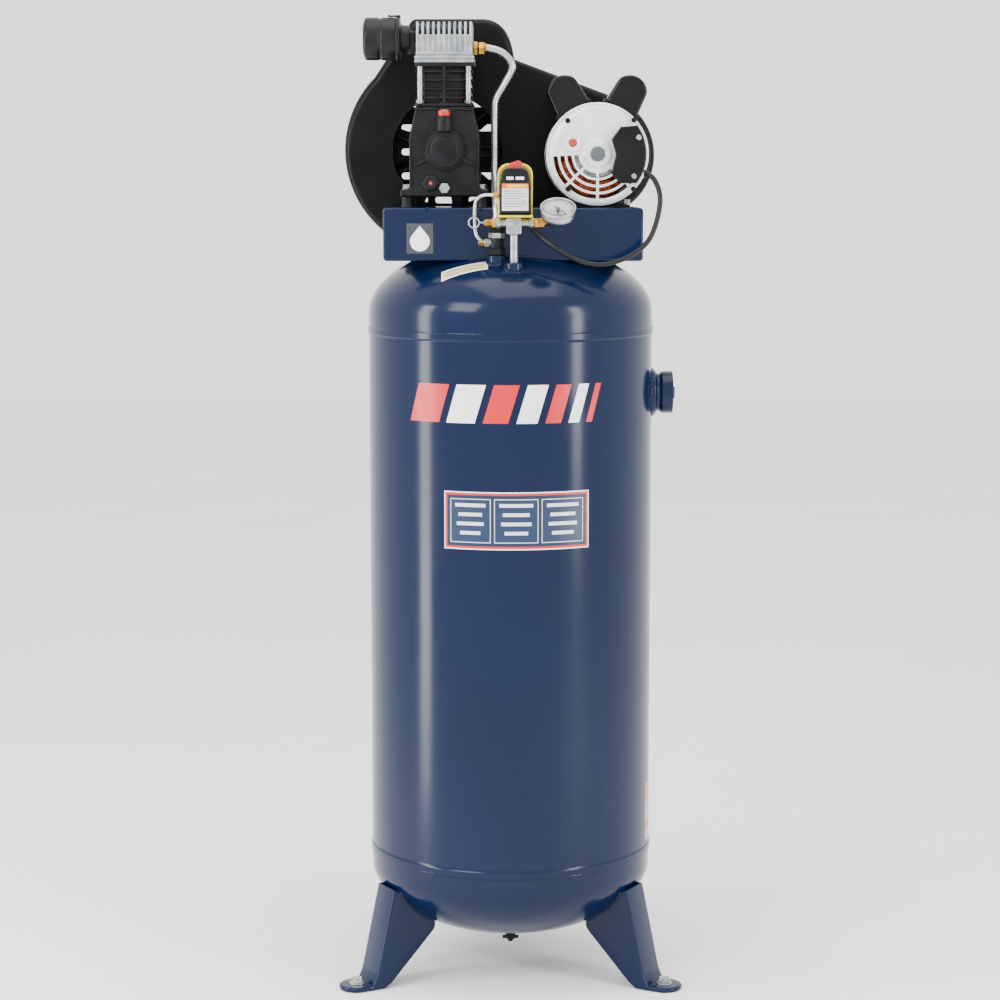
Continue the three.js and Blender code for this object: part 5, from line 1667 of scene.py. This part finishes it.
class COMPRESSOR_OT_pipework(bpy.types.Operator):
    """The discharge tube with its fittings, the check valve and the unloader tube."""

    bl_idname = "compressor.pipework"
    bl_label = "Pipework"
    bl_options = {"REGISTER", "UNDO"}

    def execute(self, context):
        wall = HEAD_HIGH.x
        nut_z = BUNGS[0][2] + 52
        route = [
            (wall + 10, -64, 1667), (-38, -64, 1667), (-14, -64, 1659), (1, -64, 1642), (1, -64, 1626),
            (-12, -64, 1603), (-26, -64, 1578), (-28, -64, 1556), (-28, -64, 1500), (-28, -66, 1466),
            (-28, -76, 1444), (-27, -104, 1424), (-26, -138, 1410), (-25, -157, 1396), (-24, -163, 1381),
            (-24, -166, 1367), (-24, -166, nut_z + 2),
        ]
        line = coat(sweep("line", smooth_path(route, 170), 6.4, resolution=6), drawn_aluminium)
        foot = coat(hexagon("foot", 22, nut_z, nut_z + 13, (-24, -166, 0)), iron_paint)
        sleeve = coat(rod("sleeve", 8.4, nut_z + 12, nut_z + 17, (-24, -166, 0), "Z", 32, 1.6), iron_paint)
        head = coat(hexagon("head", 22, wall + 0.4, wall + 9, (0, -64, 1667), "X"), brass)
        nut = coat(hexagon("nut", 20, wall + 10, wall + 21, (0, -64, 1667), "X"), brass)
        neck = coat(rod("neck", 8.2, wall + 20, wall + 25, (0, -64, 1667), "X", 32, 1.6), brass)
        fit(
            unite("discharge_line", line, foot, sleeve, head, nut, neck), FRAME, "tube_aluminium",
            "discharge_tube"
        )

        x, y, seat = BUNGS[1]
        stem = rod("stem", 8.6, seat - 22, seat + 6, (x, y, 0), "Z", 32)
        low_hex = hexagon("low", 26, seat + 0.4, seat + 14, (x, y, 0))
        waist = rod("waist", 11.5, seat + 13, nut_z - 10, (x, y, 0), "Z", 40, 1)
        top_hex = hexagon("top", 24, nut_z - 11, nut_z - 0.3, (x, y, 0))
        side = rod("side", 6, x - 22, x - 6, (0, y, BUNGS[0][2] + 34), "X", 32, 0.8)
        side_hex = hexagon("side", 13, x - 20, x - 12, (0, y, BUNGS[0][2] + 34), "X")
        dark = [coat(piece, iron_paint) for piece in (stem, low_hex, waist)]
        bright = [coat(piece, zinc_plate) for piece in (top_hex, side, side_hex)]
        fit(unite("check_valve_body", *dark, *bright), FRAME, "brass_fitting", "check_valve")

        z0 = BUNGS[0][2]
        left = COVER_LOW.x - 0.3
        thin = [
            (left - 0.3, -185, 1413), (left - 9, -185, 1413), (-44, -178, 1413), (-55, -174, 1408),
            (-61, -167, 1395), (-61, -166, z0 + 62), (-58, -166, z0 + 46), (-49, -166, z0 + 35),
            (x - 30, -166, z0 + 34), (x - 22.3, -166, z0 + 34),
        ]
        pipe = coat(sweep("pipe", smooth_path(thin, 110), 3.3, resolution=5), drawn_aluminium)
        nuts = [coat(hexagon("nut", 10, x - 31, x - 22.4, (0, -166, z0 + 34), "X"), brass),
                coat(hexagon("nut", 10, left - 10, left - 0.4, (0, -185, 1413), "X"), brass)]
        fit(unite("unloader_line", pipe, *nuts), FRAME, "tube_aluminium", "unloader_tube")
        return {"FINISHED"}


# ---------- pressure controls ----------
MANIFOLD_Z = 1366
SWITCH_X = 8
SWITCH_Y = -188
NIPPLE_X = 6


class COMPRESSOR_OT_pressure_switch(bpy.types.Operator):
    """The manifold on its nipple, with the pressure switch, its lever and its relief valve."""

    bl_idname = "compressor.pressure_switch"
    bl_label = "Pressure switch"
    bl_options = {"REGISTER", "UNDO"}

    def execute(self, context):
        foot = BUNGS[0][2]
        nipple = rod("nipple", 6.9, foot - 16, MANIFOLD_Z + 4, (NIPPLE_X, SWITCH_Y, 0), "Z", 40)
        threads = [
            ring(
                "thread", 6.4, 7.3, foot + 1 + k * 1.8, foot + 2 + k * 1.8, (NIPPLE_X, SWITCH_Y, 0), "Z",
                32, 0.4
            )
            for k in range(5)
        ]
        bar = rod("bar", 7.5, SWITCH_X - 32, SWITCH_X + 32, (0, SWITCH_Y, MANIFOLD_Z), "X", 40, 1)
        lugs = [
            ring("lug", 5, 9.6, x, x + 8, (0, SWITCH_Y, MANIFOLD_Z), "X", 40, 1.4)
            for x in (SWITCH_X - 32, SWITCH_X + 24)
        ]
        cube = block(
            "cube", NIPPLE_X - 13, NIPPLE_X + 13, SWITCH_Y - 13, SWITCH_Y + 13, MANIFOLD_Z - 20,
            MANIFOLD_Z + 9, 2.4, 3
        )
        screw = rod("screw", 7, SWITCH_Y - 15, SWITCH_Y - 12, (NIPPLE_X, 0, MANIFOLD_Z - 5), "Y", 40, 1)
        socket = hexagon("socket", 6, SWITCH_Y - 15.6, SWITCH_Y - 14, (NIPPLE_X, 0, MANIFOLD_Z - 5), "Y")
        body = unite("manifold_casting", nipple, *threads, bar, *lugs, cube, screw, socket)
        fit(coat(body, zinc_plate), FRAME, "zinc_plate", "switch_manifold")

        low, high = ARCH_LOW, ARCH_HIGH
        tray = block("tray", low.x, high.x, COVER_LOW.y + 4, high.y, low.z, low.z + 4, 1, 2)
        arch_line = rounded(
            [(low.x, low.z, 0), (high.x, low.z, 0), (high.x, high.z, 26), (low.x, high.z, 26)], 1, 10
        )
        back = plate("back", [arch_line], high.y - 6, high.y, "XZ", 1.6, 3)
        lip_line = rounded(
            [(low.x, low.z + 46, 0), (high.x, low.z + 46, 0), (high.x, high.z, 26), (low.x, high.z, 26)],
            1, 10
        )
        hole_line = rounded(
            [
                (low.x + 2.4, low.z + 40, 0), (high.x - 2.4, low.z + 40, 0),
                (high.x - 2.4, high.z - 2.4, 24), (low.x + 2.4, high.z - 2.4, 24)
            ],
            1, 10
        )
        hood = plate("hood", [lip_line], high.y - 12, high.y - 5, "XZ", 0.8, 2)
        carve(hood, plate("room", [hole_line], high.y - 20, high.y, "XZ", 0.01))
        fit(
            coat(unite("switch_base_moulding", tray, back, hood), yellow_plastic), FRAME,
            "yellow_plastic", "switch_base"
        )

        low, high = COVER_LOW, COVER_HIGH
        line = rounded(
            [
                (low.x, low.z, 1.5), (high.x, low.z, 1.5), (high.x, low.z + 44, 12),
                (high.x - 5, high.z, 13), (low.x + 5, high.z, 13), (low.x, low.z + 44, 12)
            ],
            2, 6
        )
        cover = plate("cover", [line], low.y, high.y, "XZ", 3, 3)
        room = block(
            "room", SWITCH_X - 19, SWITCH_X + 19, low.y + 10, high.y - 7.7, high.z - 16, high.z + 8, 0.5
        )
        coat(carve(cover, room), moulded_black)
        parts = [cover]
        left, right, foot_z = low.x + 4.5, high.x - 4.5, low.z + 7
        y1 = low.y + 0.2
        prints = [
            ("#C9CBCC", foot_z, foot_z + 46), ("#E8541C", foot_z + 38, foot_z + 46),
            ("#F0C020", foot_z + 39.6, foot_z + 44.4)
        ]
        for k, (code, z0, z1) in enumerate(prints):
            inset = 2.2 if k == 2 else 0
            out = 0.2 + 0.12 * k
            parts.append(
                coat(
                    block(
                        "print", left + inset + (7 if k == 2 else 0), right - inset, y1 - out - 0.3, y1,
                        z0, z1, 0.1
                    ),
                    ink, code
                )
            )
        for k in range(7):
            z = foot_z + 33 - k * 4.2
            parts.append(
                coat(
                    block(
                        "print", left + 3, right - (4 if k % 3 else 13), y1 - 0.62, y1, z - 0.5, z + 0.5,
                        0.05
                    ),
                    ink, "#4A4C4E"
                )
            )
        for x0, x1 in ((SWITCH_X - 15, SWITCH_X - 3), (SWITCH_X + 1, SWITCH_X + 15)):
            parts.append(
                coat(block("print", x0, x1, y1 - 0.5, y1, high.z - 20, high.z - 15, 0.3), ink, "#E9E9E6")
            )
        fit(unite("switch_cover_moulding", *parts), FRAME, "black_plastic", "switch_cover")

        y = SWITCH_Y - 7
        pivot = rod("pivot", 5, y - 8, y + 8, (SWITCH_X + 3, 0, COVER_HIGH.z - 9), "Y", 32, 0.8)
        paddle_line = rounded(
            [(-11, 0, 1), (13, 0, 1), (15, 11, 3), (11, 16.5, 3), (-7, 16.5, 3), (-12, 9, 3)], 2, 4
        )
        paddle = plate("paddle", [paddle_line], -6, 6, "XZ", 1.8, 3)
        moved(
            paddle,
            Matrix.Translation(
                (SWITCH_X + 1, y, COVER_HIGH.z - 6)
            ) @ Matrix.Rotation(math.radians(-18), 4, "Y")
        )
        grips = []
        for k in range(4):
            grip = block("grip", -3 + k * 3.2, -1.8 + k * 3.2, -5, 5, 15.6, 16.7, 0.5, 2)
            moved(
                grip,
                Matrix.Translation(
                    (SWITCH_X + 1, y, COVER_HIGH.z - 6)
                ) @ Matrix.Rotation(math.radians(-18), 4, "Y")
            )
            grips.append(grip)
        fit(
            coat(unite("switch_paddle", pivot, paddle, *grips), red_plastic), "lever", "red_plastic",
            "switch_lever"
        )

        end = SWITCH_X - 32.3
        at = (0, SWITCH_Y, MANIFOLD_Z)
        profile = [
            (0, end - 22), (4.2, end - 22), (4.6, end - 21), (4.6, end - 19.6), (6.3, end - 19),
            (6.6, end - 18), (6.6, end - 13), (5.6, end - 12.4), (5.6, end - 11.2), (6.6, end - 10.6),
            (6.6, end - 7.4), (0, end - 7.4)
        ]
        barrel = turn("barrel", profile, at, "X", 40)
        root = hexagon("root", 15, end - 8, end, at, "X")
        hole = rod("hole", 2.4, end - 26, end - 2, at, "X", 20, 0.01)
        fit(
            coat(unite("relief_valve_body", carve(barrel, hole), root), brass), FRAME, "brass_fitting",
            "relief_valve"
        )
        stem = rod("stem", 1.6, end - 29.6, end - 14, at, "X", 20, 0.3)
        loop_line = [(end - 38.4 + 9 * math.cos(a), SWITCH_Y, MANIFOLD_Z + 9 * math.sin(a))
                     for a in (math.tau * k / 56 for k in range(56))]
        loop = sweep("loop", loop_line, 1.3, True)
        eye = rod("eye", 2.4, end - 31, end - 27.6, at, "X", 20, 0.6)
        fit(
            coat(unite("relief_pull_ring", stem, loop, eye), zinc_plate), "pull_ring", "zinc_plate",
            "relief_ring"
        )
        return {"FINISHED"}


class COMPRESSOR_OT_gauge(bpy.types.Operator):
    """The pressure gauge on its elbow: case, bezel, dial, needle and lens."""

    bl_idname = "compressor.gauge"
    bl_label = "Pressure gauge"
    bl_options = {"REGISTER", "UNDO"}

    def execute(self, context):
        centre = Vector((81, -210, 1383))
        lean = math.radians(58)
        facing = Vector((0, -math.cos(lean), math.sin(lean)))
        place = Matrix.Translation(centre) @ Matrix.Rotation(-lean, 4, "X")
        radius = 31
        shell = rounded(
            [
                (0, 12, 0), (19, 12, 3), (radius - 3, 8, 4), (radius - 1.5, 2, 2),
                (radius - 1.5, -6, 0.6), (radius, -6.5, 1), (radius, -12, 1.2), (radius - 3.6, -12, 1.2),
                (radius - 4, -8, 0.5), (radius - 4, -4.6, 0.3), (3, -4.6, 0.2), (3, -2, 0.2), (0, -2, 0)
            ],
            1, 4,
        )
        case = coat(moved(turn("case", shell, (0, 0, 0), "Y", 96), place), ground_steel)
        dial = coat(
            moved(ring("dial", 3, radius - 4.2, -5.2, -4.5, (0, 0, 0), "Y", 72, 0.1), place), ink,
            "#F4F4F1"
        )
        marks = []
        for k in range(31):
            a = math.radians(225 - k * 9)
            long = 5 if k % 5 == 0 else 2.6
            width = 0.5 if k % 5 == 0 else 0.22
            mark = block("mark", radius - 6.5 - long, radius - 6.5, -5.5, -5.1, -width, width, 0.05)
            marks.append(moved(mark, place @ Matrix.Rotation(-a, 4, "Y")))
        marks = coat(unite("marks", *marks), ink, "#1A1A1A")
        stem_line = smooth_path([
            (SWITCH_X + 46, SWITCH_Y, MANIFOLD_Z), (SWITCH_X + 56, SWITCH_Y - 2, MANIFOLD_Z),
            (centre.x - 12, SWITCH_Y - 12, MANIFOLD_Z + 1), tuple(centre - facing * 10)], 30)
        stem = coat(sweep("stem", stem_line, 5), brass)
        x = SWITCH_X + 32.3
        elbow = coat(
            block(
                "elbow", x + 5, x + 18, SWITCH_Y - 7, SWITCH_Y + 7, MANIFOLD_Z - 8, MANIFOLD_Z + 8, 2, 3
            ),
            brass
        )
        union = coat(hexagon("union", 15, x, x + 7, (0, SWITCH_Y, MANIFOLD_Z), "X"), brass)
        fit(
            unite("gauge_case", case, dial, marks, stem, elbow, union), FRAME, "gauge_metal",
            "pressure_gauge"
        )

        lens = rounded(
            [(0, -11.4, 0), (radius - 4.4, -10.6, 0.5), (radius - 4.4, -9.4, 0.3), (0, -10.2, 0)], 0.3
        )
        fit(
            coat(moved(turn("gauge_lens", lens, (0, 0, 0), "Y", 72), place), clear_lens), FRAME,
            "gauge_metal"
        )
        arbor = rod("arbor", 1.2, -8.5, 2, (0, 0, 0), "Y", 20, 0.2)
        boss = rod("boss", 3.2, -8.9, -7.2, (0, 0, 0), "Y", 28, 0.5)
        hand = plate(
            "hand", [[(-1.5, -7), (1.5, -7), (0.9, 0), (0.35, 22), (-0.35, 22), (-0.9, 0)]], -8.5, -7.7,
            "XZ", 0.1
        )
        moved(hand, Matrix.Rotation(math.radians(135), 4, "Y"))
        needle = moved(unite("gauge_hand", arbor, boss, hand), place)
        fit(coat(needle, moulded_black), "needle", "black_plastic", "gauge_needle")
        return {"FINISHED"}


# ---------- labels ----------
def on_cylinder(u, z, lift):
    """A point on the receiver's side; u runs round it from the front."""
    a = u / TANK_R
    r = TANK_R + lift
    return Vector((r * math.sin(a), -r * math.cos(a), z))


def on_dome(u, v, lift):
    """A point on the upper head's front slope; v runs up from its lower edge in plan."""
    y = -214 + v
    z = TANK_HIGH + dome_z(u, y)
    slope = Vector((u / TANK_R**2, y / TANK_R**2, (z - TANK_HIGH) / HEAD_RISE**2)).normalized()
    return Vector((u, y, z)) + slope * lift


def on_flange(u, z, lift):
    """A point on the bed plate's front face."""
    return Vector((u, BED_LOW.y - lift, z))


def decal(corners, surface, low, high, code, steps=18):
    """A thin printed patch between four corners (in u and v, anticlockwise), laid on a surface."""
    bm = bmesh.new()
    a, b, c, d = (Vector(corner) for corner in corners)
    grids = []
    for lift in (low, high):
        rows = []
        for j in range(5):
            left, right = a.lerp(d, j / 4), b.lerp(c, j / 4)
            row = [left.lerp(right, i / steps) for i in range(steps + 1)]
            rows.append([bm.verts.new(surface(p.x, p.y, lift)) for p in row])
        grids.append(rows)
    for rows in grids:
        for j in range(4):
            for i in range(steps):
                bm.faces.new((rows[j][i], rows[j][i + 1], rows[j + 1][i + 1], rows[j + 1][i]))
    edge = [(0, i) for i in range(steps)] + [(j, steps) for j in range(4)]
    edge += [(4, i) for i in range(steps, 0, -1)] + [(j, 0) for j in range(4, 0, -1)]
    for (j0, i0), (j1, i1) in zip(edge, edge[1:] + edge[:1]):
        bm.faces.new((grids[0][j0][i0], grids[0][j1][i1], grids[1][j1][i1], grids[1][j0][i0]))
    return coat(object_from("print", bm), ink, code)


def oblong(u0, u1, v0, v1, slant=0):
    return [(u0, v0), (u1, v0), (u1 + slant, v1), (u0 + slant, v1)]


class COMPRESSOR_OT_labels(bpy.types.Operator):
    """Plain coloured labels with no words: bars, a framed panel, a drop and two notices."""

    bl_idname = "compressor.labels"
    bl_label = "Labels"
    bl_options = {"REGISTER", "UNDO"}

    def execute(self, context):
        thick = context.scene.compressor_sizes.label / MM
        layer = thick * 0.5
        bars = []
        u = -190
        for k, width in enumerate((62, 52, 44, 36, 28, 20, 12)):
            code = "#F3F4F4" if k % 2 else "#C8141C"
            bars.append(decal(oblong(u, u + width, 1026, 1092, 20), on_cylinder, 0.05, thick, code))
            u += width + 14
        fit(unite("label_bars", *bars), FRAME, "white_enamel")

        left, right, low, high = -118, 142, 808, 908
        panel = [
            decal(oblong(left, right, low, high), on_cylinder, 0.05, thick, "#F1F2F2"),
            decal(
                oblong(left + 2, right - 2, low + 2, high - 2), on_cylinder, 0.1, thick + layer, "#C62026"
            ),
            decal(
                oblong(left + 6, right - 6, low + 6, high - 6), on_cylinder, 0.1, thick + 2 * layer,
                "#10203A"
            )
        ]
        for u0, u1 in ((left + 12, left + 84), (left + 90, left + 166), (left + 172, right - 12)):
            panel.append(
                decal(oblong(u0, u1, low + 12, high - 12), on_cylinder, 0.1, thick + 3 * layer, "#E9EBEC")
            )
            panel.append(
                decal(
                    oblong(u0 + 1.2, u1 - 1.2, low + 13.2, high - 13.2), on_cylinder, 0.1,
                    thick + 4 * layer, "#14284A"
                )
            )
            for k in range(4):
                z = high - 26 - k * 16
                cut = (0, 12, 6, 18)[k]
                panel.append(
                    decal(
                        oblong(u0 + 9 + cut / 2, u1 - 9 - cut / 2, z, z + 6), on_cylinder, 0.1,
                        thick + 5 * layer, "#DDE1E6"
                    )
                )
        fit(unite("label_panel", *panel), FRAME, "white_enamel")

        notice = [decal(oblong(326, 356, 249, 354), on_cylinder, 0.05, thick, "#9EA2A5"),
                  decal(oblong(328, 354, 322, 351), on_cylinder, 0.1, thick + layer, "#E4662A"),
                  decal(oblong(328, 354, 268, 284), on_cylinder, 0.1, thick + layer, "#E4662A")]
        fit(unite("label_notice", *notice), FRAME, "white_enamel")

        strip = [decal(oblong(-119, -39, 25, 49), on_dome, 0.1, thick, "#ECECE8"),
                 decal(oblong(-116.5, -41.5, 27, 47), on_dome, 0.15, thick + layer, "#D9C98C"),
                 decal(oblong(-113, -45, 31, 34), on_dome, 0.2, thick + 2 * layer, "#8C8A7E"),
                 decal(oblong(-113, -45, 39, 42), on_dome, 0.2, thick + 2 * layer, "#8C8A7E")]
        fit(unite("label_dome", *strip), FRAME, "white_enamel")

        square = decal(oblong(-180, -134, 1312, 1364), on_flange, 0.05, thick, "#33373C")
        drop = [(-157, 1360)] + arc(-157, 1333, 17, 36, -216, 30)
        shape = plate("drop", [drop], BED_LOW.y - thick - layer, BED_LOW.y - 0.1, "XZ", 0.05)
        fit(unite("label_drop", square, coat(shape, ink, "#F2F4F5")), FRAME, "white_enamel")
        return {"FINISHED"}


# ---------- add-on ----------
OPERATORS = (
    COMPRESSOR_OT_stage,
    COMPRESSOR_OT_motor_lead,
    COMPRESSOR_OT_receiver,
    COMPRESSOR_OT_legs,
    COMPRESSOR_OT_tank_fittings,
    COMPRESSOR_OT_bed_plate,
    COMPRESSOR_OT_crankcase,
    COMPRESSOR_OT_cylinders,
    COMPRESSOR_OT_belt_drive,
    COMPRESSOR_OT_belt_guard,
    COMPRESSOR_OT_motor,
    COMPRESSOR_OT_capacitors,
    COMPRESSOR_OT_intake,
    COMPRESSOR_OT_pipework,
    COMPRESSOR_OT_pressure_switch,
    COMPRESSOR_OT_gauge,
    COMPRESSOR_OT_labels,
)


class COMPRESSOR_PT_panel(bpy.types.Panel):
    """Sizes, colours and the building steps."""

    bl_idname = "COMPRESSOR_PT_panel"
    bl_label = "Air compressor"
    bl_space_type = "VIEW_3D"
    bl_region_type = "UI"
    bl_category = "Compressor"

    def draw(self, context):
        for group in (context.scene.compressor_sizes, context.scene.compressor_colours):
            for name in group.__annotations__:
                self.layout.prop(group, name)
        for operator in OPERATORS:
            self.layout.operator(operator.bl_idname)


CLASSES = (CompressorSizes, CompressorColours, *OPERATORS, COMPRESSOR_PT_panel)


def register():
    for cls in CLASSES:
        bpy.utils.register_class(cls)
    bpy.types.Scene.compressor_sizes = bpy.props.PointerProperty(type=CompressorSizes)
    bpy.types.Scene.compressor_colours = bpy.props.PointerProperty(type=CompressorColours)


def unregister():
    del bpy.types.Scene.compressor_colours
    del bpy.types.Scene.compressor_sizes
    for cls in reversed(CLASSES):
        bpy.utils.unregister_class(cls)


def main():
    register()
    for operator in OPERATORS:
        group, step = operator.bl_idname.split(".")
        getattr(getattr(bpy.ops, group), step)()


if __name__ == "__main__":
    main()
